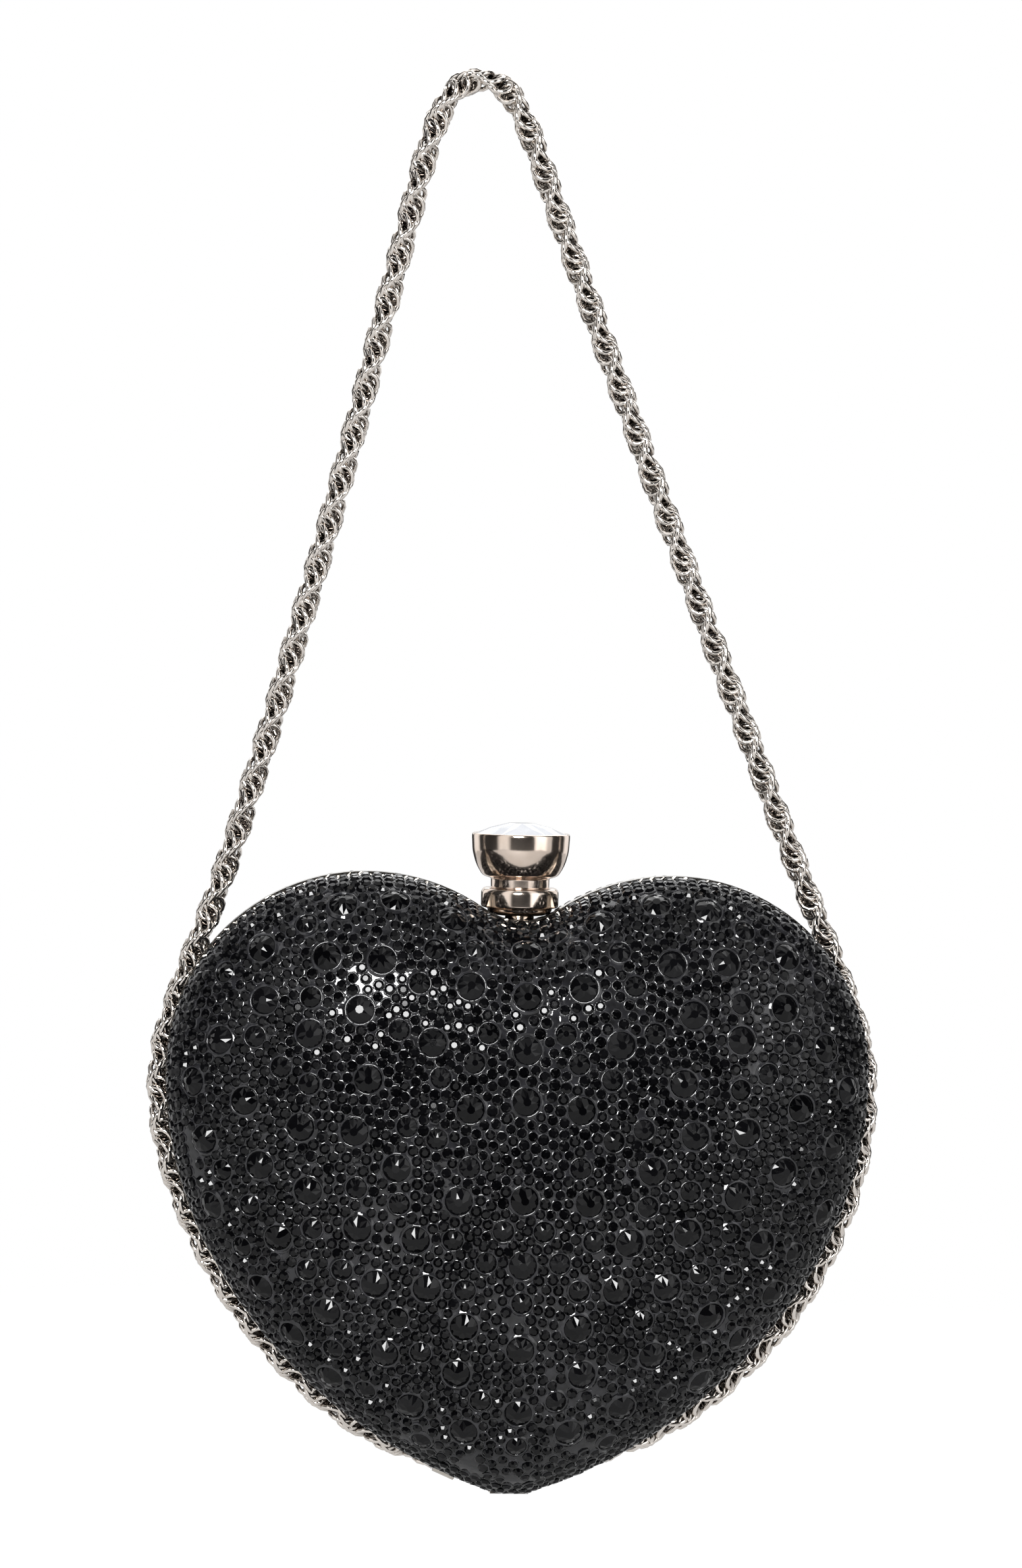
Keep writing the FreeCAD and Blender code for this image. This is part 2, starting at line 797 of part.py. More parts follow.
# Rear half: its wall layers are opened for the clasp's tube and the anchor's stud
tube_hole_start = Vector(0, clasp_setback, nut_top - nut_thickness - overrun)
tube_hole_end = Vector(0, clasp_setback, heart_height)
tube_hole = rod(tube_radius + wall_hole_clearance, tube_hole_start, tube_hole_end)
pocket_half = nut_corner_radius + wall_hole_clearance
pocket_floor = nut_top - nut_thickness - overrun
nut_pocket = block(pocket_half, rim_y - overrun, clasp_setback + pocket_half, pocket_floor, casing_inside)
strike_half = strike_width / 2 + wall_hole_clearance
strike_pocket = block(strike_half, strike_foot_start() - wall_hole_clearance, 0, pocket_floor, casing_inside)
stud_end = anchor_shaft_reach + overrun
stud_hole = anchor_cut(anchor_shaft_radius + wall_hole_clearance, -overrun, stud_end)
around = anchor_nut().BoundBox
around.enlarge(lining_nut_margin)
stud_pocket = block(around.XMax, around.YMin, around.YMax, around.ZMin, around.ZMax)

rear_rivets = [hinge_rivet(x) for x in rear_rivet_places]
front_rivets = [mirrored(hinge_rivet(x)) for x in front_rivet_places]
rear_knuckles = []
for side in (1, -1):
    ends = sorted((side * (knuckle_front_length / 2 + knuckle_gap), side * barrel_half()))
    rear_knuckles.append(knuckle(*ends).cut(rear_rivets))
front_knuckle = mirrored(knuckle(-knuckle_front_length / 2, knuckle_front_length / 2)).cut(front_rivets)

frame = frame_half()
bed = bed_half()
casing = casing_half()
lining = lining_half()

save("rear_casing", casing.cut([tube_hole, stud_hole]))
flange_pocket = block(pocket_half, rim_y, rim_y + flange_height + overrun, pocket_floor, casing_inside)
save("rear_frame", frame.cut([flange_pocket] + rear_rivets))
save("rear_stone_bed", bed.cut([tube_hole, stud_hole]))
save("rear_lining", lining.cut([nut_pocket, stud_pocket]))
save("hinge_knuckles_rear", Part.makeCompound(rear_knuckles))
save("hinge_rivets_rear", Part.makeCompound(rear_rivets))
save("hinge_pin", hinge_pin())
save("chain_anchor", chain_anchor())
save("chain_anchor_nut", anchor_nut())
route = [Vector(*point) for point in chain_route]
for name, side, end in (("left", -1, route[0]), ("right", 1, route[-1])):
    save("chain_ring_" + name, chain_ring(side))
    save("chain_end_cap_" + name, chain_end_cap(side, end - to_hang_frame))
strap_chain = tube(route, chain_radius)
strap_chain.translate(-to_hang_frame)
save("strap_chain", strap_chain)

# Clasp
save("clasp_base", clasp_base())
save("clasp_nut", clasp_nut())
save("clasp_spring", clasp_spring())
save("clasp_knob", clasp_knob())
save("clasp_crystal", clasp_crystal())
save("latch_hook", latch_hook())
save("latch_clip", latch_clip())

# Front half
strike_rivets = [strike_rivet(x) for x in strike_rivet_places]
save("front_casing", mirrored(casing))
save("front_frame", mirrored(frame).cut(front_rivets + strike_rivets))
save("front_stone_bed", mirrored(bed))
save("front_lining", mirrored(lining).cut(strike_pocket))
save("hinge_knuckle_front", front_knuckle)
save("hinge_rivets_front", Part.makeCompound(front_rivets))
save("strike_plate", strike_plate().cut(strike_rivets))
save("strike_rivets", Part.makeCompound(strike_rivets))
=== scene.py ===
import math
import random

import bmesh
import bpy
import numpy as np
from mathutils import Matrix, Vector
from mathutils.bvhtree import BVHTree


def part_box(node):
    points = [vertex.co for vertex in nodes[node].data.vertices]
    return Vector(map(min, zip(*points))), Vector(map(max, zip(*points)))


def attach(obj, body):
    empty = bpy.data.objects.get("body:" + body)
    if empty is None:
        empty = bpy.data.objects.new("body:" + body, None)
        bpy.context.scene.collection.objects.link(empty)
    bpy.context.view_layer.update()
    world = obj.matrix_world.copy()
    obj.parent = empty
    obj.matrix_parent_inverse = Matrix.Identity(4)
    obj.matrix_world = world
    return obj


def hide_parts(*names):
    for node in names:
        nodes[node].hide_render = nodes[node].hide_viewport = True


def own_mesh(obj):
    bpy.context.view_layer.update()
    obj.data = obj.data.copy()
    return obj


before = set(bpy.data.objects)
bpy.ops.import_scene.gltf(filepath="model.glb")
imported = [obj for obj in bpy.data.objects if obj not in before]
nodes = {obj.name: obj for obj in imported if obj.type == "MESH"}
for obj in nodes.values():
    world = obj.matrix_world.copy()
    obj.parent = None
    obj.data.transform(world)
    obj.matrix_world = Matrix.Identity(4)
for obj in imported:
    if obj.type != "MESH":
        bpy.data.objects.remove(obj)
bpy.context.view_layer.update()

# Moulded casings
# Each half of the bag is a shell of black ABS that carries the frame, the stones and the lining.
# Only its edge shows, between the frame and the lining, when the bag is open.


def rgb(code):
    """A six-digit sRGB hex colour as linear red, green, blue and alpha."""
    share = np.array([int(code[i : i + 2], 16) for i in (0, 2, 4)]) / 255
    linear = np.where(share <= 0.04045, share / 12.92, ((share + 0.055) / 1.055) ** 2.4)
    return (*linear.tolist(), 1.0)


def add(tree, kind, links=None, **settings):
    """Adds a node, sets its properties and fills its inputs from values or from other nodes' sockets."""
    made = tree.nodes.new(kind)
    for name, value in settings.items():
        setattr(made, name, value)
    for socket, source in (links or {}).items():
        if isinstance(source, bpy.types.NodeSocket):
            tree.links.new(source, made.inputs[socket])
        else:
            made.inputs[socket].default_value = source
    return made


def finish(name, **sockets):
    """A material with one Principled shader, whose plain values are given by socket name."""
    made = bpy.data.materials.new(name)
    made.use_nodes = True
    shader = made.node_tree.nodes["Principled BSDF"]
    for socket, value in sockets.items():
        shader.inputs[socket.replace("_", " ")].default_value = value
    return made, made.node_tree, shader


def mottled(name, blotch_mm, low, high, relief_mm=0.0, detail=3.0, **sockets):
    """A finish whose colour drifts between two hex colours, with a faint relief that goes with it.

    The pattern is soft noise on Object coordinates, whose blotches are about blotch_mm across. Most of such
    noise lies between the two stops of the ramp.
    """
    stops = 0.3, 0.7
    made, tree, shader = finish(name, **sockets)
    place = add(tree, "ShaderNodeTexCoord")
    noise = add(
        tree,
        "ShaderNodeTexNoise",
        {"Vector": place.outputs["Object"], "Scale": 1000 / blotch_mm, "Detail": detail},
    )
    ramp = add(tree, "ShaderNodeValToRGB", {"Fac": noise.outputs["Fac"]})
    for stop, position, code in zip(ramp.color_ramp.elements, stops, (low, high)):
        stop.position = position
        stop.color = rgb(code)
    tree.links.new(ramp.outputs["Color"], shader.inputs["Base Color"])
    if relief_mm:
        bump = add(
            tree,
            "ShaderNodeBump",
            {"Height": noise.outputs["Fac"], "Distance": relief_mm / 1000, "Strength": 1.0},
        )
        tree.links.new(bump.outputs["Normal"], shader.inputs["Normal"])
    return made


def dress(material, *names):
    """Puts one finish on CAD nodes that keep their own shape."""
    for name in names:
        nodes[name].data.materials.clear()
        nodes[name].data.materials.append(material)


# Black ABS with a fine spark-eroded grain: dark, slightly grey and evenly dull
moulded_abs = mottled(
    "moulded_black_abs", blotch_mm=0.8, low="0e0e10", high="1b1b1e", relief_mm=0.02, IOR=1.5, Roughness=0.55
)
dress(moulded_abs, "front_casing", "rear_casing")

# Seam frames
# Two flat heart shaped rims of zinc alloy, die cast, polished and nickel plated with a warm tint.
# Each is glued to its half, and they close on each other along the seam.

# Nickel plate, buffed by hand: a clear mirror with slow waves, a little warmer than silver
nickel = mottled(
    "polished_warm_nickel",
    blotch_mm=6.0,
    low="dcd3c6",
    high="e6dfd5",
    relief_mm=0.012,
    Metallic=1.0,
    Roughness=0.09,
)
dress(nickel, "front_frame", "rear_frame")

# Resin beds
# A layer of charcoal epoxy over each half, in which the stones are pressed while it is soft.
# It creeps up round every stone, so it stays glossy and full of small rings. Sizes are in millimetres.
heart_width, heart_height = 165.0, 145.5
lobe_radius, notch_depth, notch_radius = 46.5, 11.0, 15.0
tip_radius, side_radius, side_turn = 19.0, 90.0, math.radians(60)
crown_height, fullness, notch_fade, rim_y = 84.0, 2.4, 0.55, 1.75
bed_setback, bed_depth, bed_wall = 0.9, 28.35, 1.4
bed_columns, bed_rows, bed_last_row = 560, 100, 0.997
arc_steps, row_power = 240, 0.9
frame_low, frame_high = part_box("front_frame")
middle_x = (frame_low.x + frame_high.x) / 2 * 1000
tip_z = frame_high.z * 1000 - heart_height


def metres(points):
    """Points of the bag, in millimetres from its tip, moved to the hanging frame in metres."""
    return (np.asarray(points, float) + (middle_x, 0, tip_z)) / 1000


def on_half(half, points):
    """The front half's points or normals, or their mirror image in the seam for the rear half."""
    return points * (1, 1 if half == "front" else -1, 1)


def heart_arcs(inset):
    """The right half as six tangent arcs: tip, flank, side, outer lobe, inner lobe and notch.

    Each has a centre, a radius, its first and last angle, and whether it lies in the dip between the lobes.
    The flank's radius is the one with which it touches both the tip's circle and the side's.
    """
    lobe_x = heart_width / 2 - lobe_radius
    inner = (lobe_x**2 + notch_depth**2) / (2 * notch_depth) - notch_radius
    side = np.array([heart_width / 2 - side_radius, heart_height - lobe_radius])
    tip = np.array([0.0, tip_radius])
    normal = np.array([math.sin(side_turn), -math.cos(side_turn)])
    apart = side - tip
    along = apart @ normal
    squares = apart @ apart + 2 * side_radius * along + side_radius**2 - tip_radius**2
    flank_radius = squares / (2 * (along + side_radius - tip_radius))
    flank = side - normal * (flank_radius - side_radius)
    down, up, turn = -math.pi / 2, math.pi / 2, side_turn - math.pi / 2
    tip_turn = math.atan2(*(tip - flank)[::-1])
    notch_turn = up + math.asin(lobe_x / (notch_radius + inner))
    notch = (0, heart_height - notch_depth + notch_radius)
    return [
        (tip, tip_radius - inset, down, tip_turn, False),
        (flank, flank_radius - inset, tip_turn, turn, False),
        (side, side_radius - inset, turn, 0, False),
        ((lobe_x, heart_height - lobe_radius), lobe_radius - inset, 0, up, False),
        ((lobe_x, heart_height - inner), inner - inset, up, notch_turn, True),
        (notch, -notch_radius - inset, notch_turn, up, True),
    ]


def heart_line(inset):
    """The closed outline: share of its length, x, z, and how far a point of the dip lies below the lobes."""
    arcs = heart_arcs(inset)
    x, z, sunk = [], [], []
    for number, (centre, radius, start, end, dips) in enumerate(arcs):
        turn = np.linspace(start, end, arc_steps, endpoint=number == len(arcs) - 1)
        x.append(centre[0] + radius * np.cos(turn))
        z.append(centre[1] + radius * np.sin(turn))
        sunk.append((heart_height - inset - z[-1]) * dips)
    x, z, sunk = (np.concatenate(part) for part in (x, z, sunk))
    x, z, sunk = np.append(x, -x[-2::-1]), np.append(z, z[-2::-1]), np.append(sunk, sunk[-2::-1])
    length = np.append(0, np.hypot(np.diff(x), np.diff(z)).cumsum())
    return length / length[-1], x, z, sunk


def dome(u, v, inset, depth, lift=0.0):
    """Points and normals of the front dome, whose rim is at v = 0 and whose crown is at v = 1.

    The outline at u is drawn in towards the crown along a superellipse, and the notch fills up on the way.
    lift stands off along the normal.
    """
    share, x, z, sunk = heart_line(inset)

    def on_dome(u, v):
        """The point of the superellipse at v, between the outline at u and the crown."""
        turn = np.clip(v, 0, 1) * math.pi / 2
        scale = np.cos(turn) ** (2 / fullness)
        level = np.clip((1 - scale) / notch_fade, 0, 1)
        fill = level * level * (3 - 2 * level)
        at = u % 1
        height = np.interp(at, share, z) + fill * np.interp(at, share, sunk)
        deep = -rim_y - depth * np.sin(turn) ** (2 / fullness)
        high = crown_height + scale * (height - crown_height)
        return np.stack([scale * np.interp(at, share, x), deep, high], -1)

    # The slope is taken by small steps, and a little inside the rim and the crown, where it runs out
    step_u, step_v, first_v, last_v = 1e-3, 2e-3, 0.004, 0.985
    inner = np.clip(v, first_v, last_v)
    across = on_dome(u + step_u, inner) - on_dome(u - step_u, inner)
    upward = on_dome(u, inner + step_v) - on_dome(u, inner - step_v)
    normal = np.cross(across, upward)
    normal /= np.linalg.norm(normal, axis=-1, keepdims=True)
    return on_dome(u, v) + normal * np.asarray(lift)[..., None], normal


def dome_grid(columns, rows, last_row):
    """The u and v of a grid over the dome, with v a power of even steps up to its last row."""
    return np.meshgrid(np.arange(columns) / columns, np.linspace(0, last_row, rows) ** row_power)


def grid_faces(rows, columns):
    """Quads of a grid whose columns close on themselves."""
    number = np.arange(rows * columns).reshape(rows, columns)
    beside = np.roll(number, -1, 1)
    return np.stack([number[:-1], beside[:-1], beside[1:], number[1:]], -1).reshape(-1, 4)


def capped_faces(rows, columns):
    """The same quads, and triangles from the last row to one more point at the crown."""
    last = np.arange(columns) + (rows - 1) * columns
    fan = np.stack([last, np.roll(last, -1), np.full(columns, rows * columns)], 1)
    return grid_faces(rows, columns).tolist() + fan.tolist()


def turned_over(faces):
    """Faces with their corners in the other order, so that they point the other way."""
    return [face[::-1] for face in faces]


def piece(name, points, faces, body, slot, material, smooth=True):
    """A mesh object in the hanging frame that rides on a CAD body."""
    mesh = bpy.data.meshes.new(name)
    mesh.from_pydata(np.asarray(points).reshape(-1, 3).tolist(), [], faces)
    mesh.polygons.foreach_set("use_smooth", [smooth] * len(mesh.polygons))
    mesh.materials.append(material)
    mesh.update()
    made = bpy.data.objects.new(name, mesh)
    bpy.context.scene.collection.objects.link(made)
    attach(made, body)
    return made


# Charcoal epoxy, cast: a dark glossy skin with soft unevenness where it was pressed aside
epoxy = mottled(
    "charcoal_epoxy",
    blotch_mm=2.4,
    low="151516",
    high="29292c",
    relief_mm=0.2,
    detail=1.5,
    IOR=1.5,
    Roughness=0.05,
)

bed_u, bed_v = dome_grid(bed_columns, bed_rows, bed_last_row)
bed_skin = dome(bed_u, bed_v, bed_setback, bed_depth)[0]
bed_lip = dome(bed_u[0], 0 * bed_v[0], bed_setback + bed_wall, bed_depth)[0]
bed_crown = [0, -rim_y - bed_depth, crown_height]
bed_points = np.vstack([bed_lip, bed_skin.reshape(-1, 3), [bed_crown]])
bed_faces = capped_faces(bed_rows + 1, bed_columns)
for half, faces in (("front", bed_faces), ("rear", turned_over(bed_faces))):
    points = metres(on_half(half, bed_points))
    bed = piece(half + "_resin_bed", points, faces, half + "_half", "black_stones", epoxy)
    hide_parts(half + "_stone_bed")

# Large and medium stones
# Flat-backed brilliants of black pressed glass, about 6.4 and 4.8 mm across, pressed into the wet epoxy.
# They are set alike on the left and right, and the epoxy stands up in a ring round each.
large_radius, large_rise, large_room = 3.2, 1.5, 5.0
medium_radius, medium_rise, medium_room = 2.4, 1.2, 2.6
stone_rim_margin, stone_tip_margin, stone_tries, crown_flat = 12.5, 14.0, 2500, 0.12
stone_tilt, ring_tilt, ring_height = 0.05, 0.03, 1.0
to_left = (-1, 1, 1)
rng = np.random.default_rng(11)

# The layout is the solid's: places are drawn in turn, and each keeps its room to those before it.
# A try takes three numbers, and the tries for the large stones come first.
draw = random.Random(11)
chance = np.array([draw.random() for _ in range(2 * 3 * stone_tries)]).reshape(-1, 3)
last_turn = math.acos(crown_flat ** (fullness / 2)) / (math.pi / 2)
drawn, drawn_normals = dome(chance[:, 0] / 2, chance[:, 1] * last_turn, bed_setback, bed_depth)
drawn_scale = np.cos(chance[:, 1] * last_turn * math.pi / 2) ** (2 / fullness)
fits = chance[:, 2] <= drawn_scale
fits &= -drawn[:, 1] >= rim_y + stone_rim_margin
fits &= drawn[:, 2] >= stone_tip_margin
right_places, right_normals, right_radii = np.empty((0, 3)), np.empty((0, 3)), np.empty(0)
for number in np.flatnonzero(fits):
    radius, room = (large_radius, large_room) if number < stone_tries else (medium_radius, medium_room)
    to_middle = (0.0 if drawn[number, 0] < radius + room / 2 else 1.0, 1, 1)
    spot = drawn[number] * to_middle
    if (np.linalg.norm(right_places - spot, axis=1) > right_radii + radius + room).all():
        right_places = np.vstack([right_places, spot])
        right_normals = np.vstack([right_normals, drawn_normals[number] * to_middle])
        right_radii = np.append(right_radii, radius)
paired = right_places[:, 0] > 0
big_places = np.vstack([right_places, right_places[paired] * to_left])
big_normals = np.vstack([right_normals, right_normals[paired] * to_left])
big_radii = np.append(right_radii, right_radii[paired])
big_rises = np.where(big_radii == large_radius, large_rise, medium_rise)


def level_rings(rings):
    """Points of level rings about an upright axis, each given by radius, height and the points' angles."""
    made = [np.stack([r * np.cos(turn), r * np.sin(turn), np.full(len(turn), z)], 1) for r, z, turn in rings]
    return np.concatenate(made)


def brilliant(sides=8):
    """A brilliant of radius 1 and height 1: skirt, girdle, girdle facets, kites, stars and a small table."""
    turn = np.arange(sides) * 2 * math.pi / sides
    half = math.pi / sides
    outer = np.arange(2 * sides) * half
    rings = [(0.97, -0.4, outer), (1.0, 0.14, outer), (0.68, 0.64, turn + half), (0.3, 1.0, turn)]
    points = level_rings(rings)
    number = np.arange(sides)
    after, before = np.roll(number, -1), np.roll(number, 1)
    girdle, middle, table = 2 * sides + np.arange(2 * sides), 4 * sides + number, 5 * sides + number
    faces = grid_faces(2, 2 * sides).tolist()
    faces += np.stack([girdle[2 * number], girdle[2 * number + 1], middle], 1).tolist()
    faces += np.stack([girdle[2 * number + 1], girdle[2 * after], middle], 1).tolist()
    faces += np.stack([girdle[2 * number], middle, table, middle[before]], 1).tolist()
    faces += np.stack([middle, table[after], table], 1).tolist()
    return points, faces + [table.tolist()]


def resin_ring(profile, columns):
    """A ring round a stone of radius 1: a profile of radius and height, carried round the stone's axis."""
    turn = np.arange(columns) * 2 * math.pi / columns
    points = level_rings([(radius, height, turn) for radius, height in profile])
    return points, grid_faces(len(profile), columns).tolist()


def scatter(template, places, normals, radius, height, tilt):
    """Copies of one shape, each turned at random about its own axis, tilted a little and set on the bed.

    The third result is a random number for each copy, given to all its points.
    """
    points, faces = template
    count = len(places)
    lean = normals + rng.normal(0, tilt, (count, 3))
    lean /= np.linalg.norm(lean, axis=1, keepdims=True)
    side = np.cross(lean, rng.normal(size=(count, 3)))
    side /= np.linalg.norm(side, axis=1, keepdims=True)
    other = np.cross(lean, side)
    local = points[None] * np.stack([radius, radius, height], 1)[:, None]
    copies = places[:, None] + local[..., :1] * side[:, None]
    copies = copies + local[..., 1:2] * other[:, None] + local[..., 2:] * lean[:, None]
    offset = np.arange(count)[:, None, None] * len(points)
    all_faces = []
    for corners in sorted({len(face) for face in faces}):
        same = np.array([face for face in faces if len(face) == corners])
        all_faces += (same[None] + offset).reshape(-1, corners).tolist()
    return copies.reshape(-1, 3), all_faces, np.repeat(rng.random(count), len(points))


# Black pressed glass, fire polished: nearly black, mirror smooth facets, no two stones quite alike.
# Its index is set below glass's own 1.5, because the photograph's facets stay darker than that gives.
jet_glass, tree, shader = finish("black_pressed_glass", IOR=1.33)
own = add(tree, "ShaderNodeAttribute", attribute_name="stone_tint")
ramp = add(tree, "ShaderNodeValToRGB", {"Fac": own.outputs["Fac"]})
ramp.color_ramp.elements[0].color = rgb("020203")
ramp.color_ramp.elements[1].color = rgb("0a0a0c")
tree.links.new(ramp.outputs["Color"], shader.inputs["Base Color"])
rough = add(tree, "ShaderNodeMapRange", {"Value": own.outputs["Fac"], "To Min": 0.02, "To Max": 0.08})
tree.links.new(rough.outputs["Result"], shader.inputs["Roughness"])


def set_stones(half, kind, template, places, normals, radius, height, tilt):
    """Stones of one kind on one half, each with a tint of its own. Places are given on the front half."""
    places, normals = metres(on_half(half, places)), on_half(half, normals)
    points, faces, tint = scatter(template, places, normals, radius / 1000, height / 1000, tilt)
    made = piece(f"{half}_{kind}", points, faces, half + "_half", "black_stones", jet_glass, smooth=False)
    tints = made.data.attributes.new("stone_tint", "FLOAT", "POINT").data
    tints.foreach_set("value", tint.astype(np.float32))


def set_rings(half, kind, template, places, normals, radius, height, tilt):
    """Rings of epoxy round stones of one kind on one half. Places are given on the front half."""
    places, normals = metres(on_half(half, places)), on_half(half, normals)
    points, faces, _ = scatter(template, places, normals, radius / 1000, height / 1000, tilt)
    piece(f"{half}_{kind}", points, turned_over(faces), half + "_half", "black_stones", epoxy)


big_ring = resin_ring([(0.99, 0.1), (1.04, 0.4), (1.13, 0.3), (1.3, -0.08)], columns=20)
ring_heights = np.full(len(big_radii), ring_height)
for half in ("front", "rear"):
    set_stones(half, "large_stones", brilliant(), big_places, big_normals, big_radii, big_rises, stone_tilt)
    set_rings(half, "epoxy_rings", big_ring, big_places, big_normals, big_radii, ring_heights, ring_tilt)

# Small stones
# Round stones of the same glass, 2.5 mm across, sprinkled between the others until the epoxy is covered.
# Along the rim they are laid in four even rows.
small_radius, small_rise = 1.26, 0.95
row_start, row_pitch, row_count, stones_apart = 1.7, 2.55, 4, 2.06
first_row_share, next_row_share = 0.8, 0.1
small_reach, rim_reach, big_margin = 1.4, 1.3, 0.35
small_area, big_moat, rows_overlap = 6.0, 0.8, 1.0
push_rounds, push_by_loose, push_by_fixed, least_square = 70, 0.4, 0.8, 1e-4
size_shares, bead_shares = (0.86, 1.08), (0.6, 1.3)
small_tilt, bead_tilt = 0.07, 0.08
anchor_room, collar_room, collar_depth = 5.6, 4.7, 30.0
fine_columns, fine_rows = 960, 160

fine_u, fine_v = np.linspace(0, 1, fine_columns, endpoint=False), np.linspace(0, 1, fine_rows)
fine = dome(*np.meshgrid(fine_u, fine_v), bed_setback, bed_depth)[0]
from_rim = np.linalg.norm(np.diff(fine, axis=0), axis=-1).cumsum(0)
from_rim = np.concatenate([np.zeros((1, fine_columns)), from_rim])


def at_depth(u, distance):
    """The v at which the way over the dome from the rim has a given length, for each u."""
    way = from_rim[:, np.round(np.asarray(u) * fine_columns).astype(int) % fine_columns]
    row = np.clip((way < distance).sum(0), 1, fine_rows - 1)
    low, high = (np.take_along_axis(way, at[None], 0)[0] for at in (row - 1, row))
    return fine_v[row - 1] + (fine_v[row] - fine_v[row - 1]) * (distance - low) / (high - low)


# Each row along the rim keeps its own distance from it over the dome, and every other one starts half a
# stone further on
rim_places, rim_rises = [], []
for number in range(row_count):
    distance = row_start + number * row_pitch
    row_line = dome(fine_u, at_depth(fine_u, distance), bed_setback, bed_depth)[0]
    row_way = np.append(0, np.linalg.norm(np.roll(row_line, -1, 0) - row_line, axis=1).cumsum())
    row_stones = round(row_way[-1] / (stones_apart * small_radius))
    stone_way = (np.arange(row_stones) + 0.5 * (number % 2)) * row_way[-1] / row_stones
    row_u = np.interp(stone_way, row_way, np.append(fine_u, 1))
    rim_places.append(dome(row_u, at_depth(row_u, distance), bed_setback, bed_depth)[0])
    rim_rises.append(np.full(row_stones, small_rise * min(1, first_row_share + next_row_share * number)))
rim_places, rim_rises = np.vstack(rim_places), np.concatenate(rim_rises)
to_big = np.linalg.norm(rim_places[:, None] - big_places[None], axis=-1) - big_radii[None]
free = to_big.min(1) > small_radius
rim_places, rim_rises = rim_places[free], rim_rises[free]

# The rest are thrown evenly over what is left, and then push each other apart over the skin
patch = np.linalg.norm(np.cross(np.diff(fine, axis=0)[:, :-1], np.diff(fine, axis=1)[:-1]), axis=-1)
patch *= from_rim[:-1, :-1] > row_start + row_count * row_pitch - rows_overlap
count = int((patch.sum() - (math.pi * (big_radii + big_moat) ** 2).sum()) / small_area)
thrown = rng.choice(patch.size, count, p=(patch / patch.sum()).ravel())
thrown_v, thrown_u = np.unravel_index(thrown, patch.shape)
thrown_u = (thrown_u + rng.random(count)) / fine_columns
thrown_v = (thrown_v + rng.random(count)) / (fine_rows - 1)
loose = dome(thrown_u, thrown_v, bed_setback, bed_depth)[0]
settled = np.vstack([big_places, rim_places])
others_reach = [np.full(count, small_reach), big_radii + big_margin, np.full(len(rim_places), rim_reach)]
reach = small_reach + np.concatenate(others_reach)
strength = np.append(np.full(count, push_by_loose), np.full(len(settled), push_by_fixed))
skin = BVHTree.FromPolygons(fine.reshape(-1, 3).tolist(), grid_faces(fine_rows, fine_columns).tolist())
for _ in range(push_rounds):
    others = np.vstack([loose, settled])
    square = (loose**2).sum(1)[:, None] + (others**2).sum(1)[None] - 2 * loose @ others.T
    gap = np.sqrt(np.clip(square, least_square, None))
    push = np.clip(reach[None] - gap, 0, None) / gap * strength[None]
    push[np.arange(count), np.arange(count)] = 0
    moved = loose * (1 + push.sum(1))[:, None] - push @ others
    loose = np.array([skin.find_nearest(point)[0] for point in moved.tolist()])
small_places = np.vstack([loose, rim_places])
small_rises = np.append(np.full(count, small_rise), rim_rises)
small_normals = np.array([skin.find_nearest(point)[1] for point in small_places.tolist()])
small_normals *= np.sign((small_normals * (small_places - (0, 0, crown_height))).sum(1))[:, None]


def round_stone(sides=8):
    """A small stone of radius 1 and height 1: a skirt, a girdle and one row of facets up to a flat table."""
    turn = np.arange(sides) * 2 * math.pi / sides
    points = level_rings([(0.98, -0.35, turn), (1.0, 0.42, turn), (0.54, 1.0, turn)])
    return points, grid_faces(3, sides).tolist() + [list(range(2 * sides, 3 * sides))]


# None are set where the chain's anchor goes through the back or the clasp's collar through the notch
small_ring = resin_ring([(0.98, 0.16), (1.1, 0.24), (1.36, -0.1)], columns=8)
anchor = sum(np.array(corner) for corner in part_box("chain_anchor")) / 2
collar = sum(np.array(corner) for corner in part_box("clasp_base")) / 2
for half in ("front", "rear"):
    spots = metres(on_half(half, small_places))
    clear = np.linalg.norm(spots - anchor, axis=1) > anchor_room / 1000
    beside_collar = np.hypot(*(spots - collar)[:, :2].T) > collar_room / 1000
    clear &= beside_collar | (spots[:, 2] < collar[2] - collar_depth / 1000)
    places, normals, rises = small_places[clear], small_normals[clear], small_rises[clear]
    sizes = small_radius * rng.uniform(*size_shares, len(places))
    stone_rises = sizes / small_radius * rises
    set_stones(half, "small_stones", round_stone(), places, normals, sizes, stone_rises, small_tilt)
    bead_rises = rng.uniform(*bead_shares, len(places)) * rises / small_rise
    set_rings(half, "epoxy_beads", small_ring, places, normals, sizes, bead_rises, bead_tilt)

# Linings
# Each half has an inner shell of card covered with black satin, pressed into the casing.
# The cloth is gathered along the rim, and cut out round the clasp's nut, the catch and the chain's nut.
lining_setback, lining_depth, lining_wall, card_thickness = 5.7, 24.35, 0.6, 0.5
lining_columns, lining_rows, lining_last_row = 520, 60, 0.995
pleat_pitch, pleat_depth, pleat_reach = 6.0, 0.9, 9.0
drift_waves, drift_range = (7, 12, 19, 31), (0.3, 0.7)
reach_waves = ((0.35, 23, 0), (0.3, 9, 1))
slack_depth, slack_turns, stand_off = 0.12, ((0.21, 0.13), (-0.06, 0.17)), 0.12
twill_pitch, twill_depth, twill_wander = 1.496, 0.05, 1.5

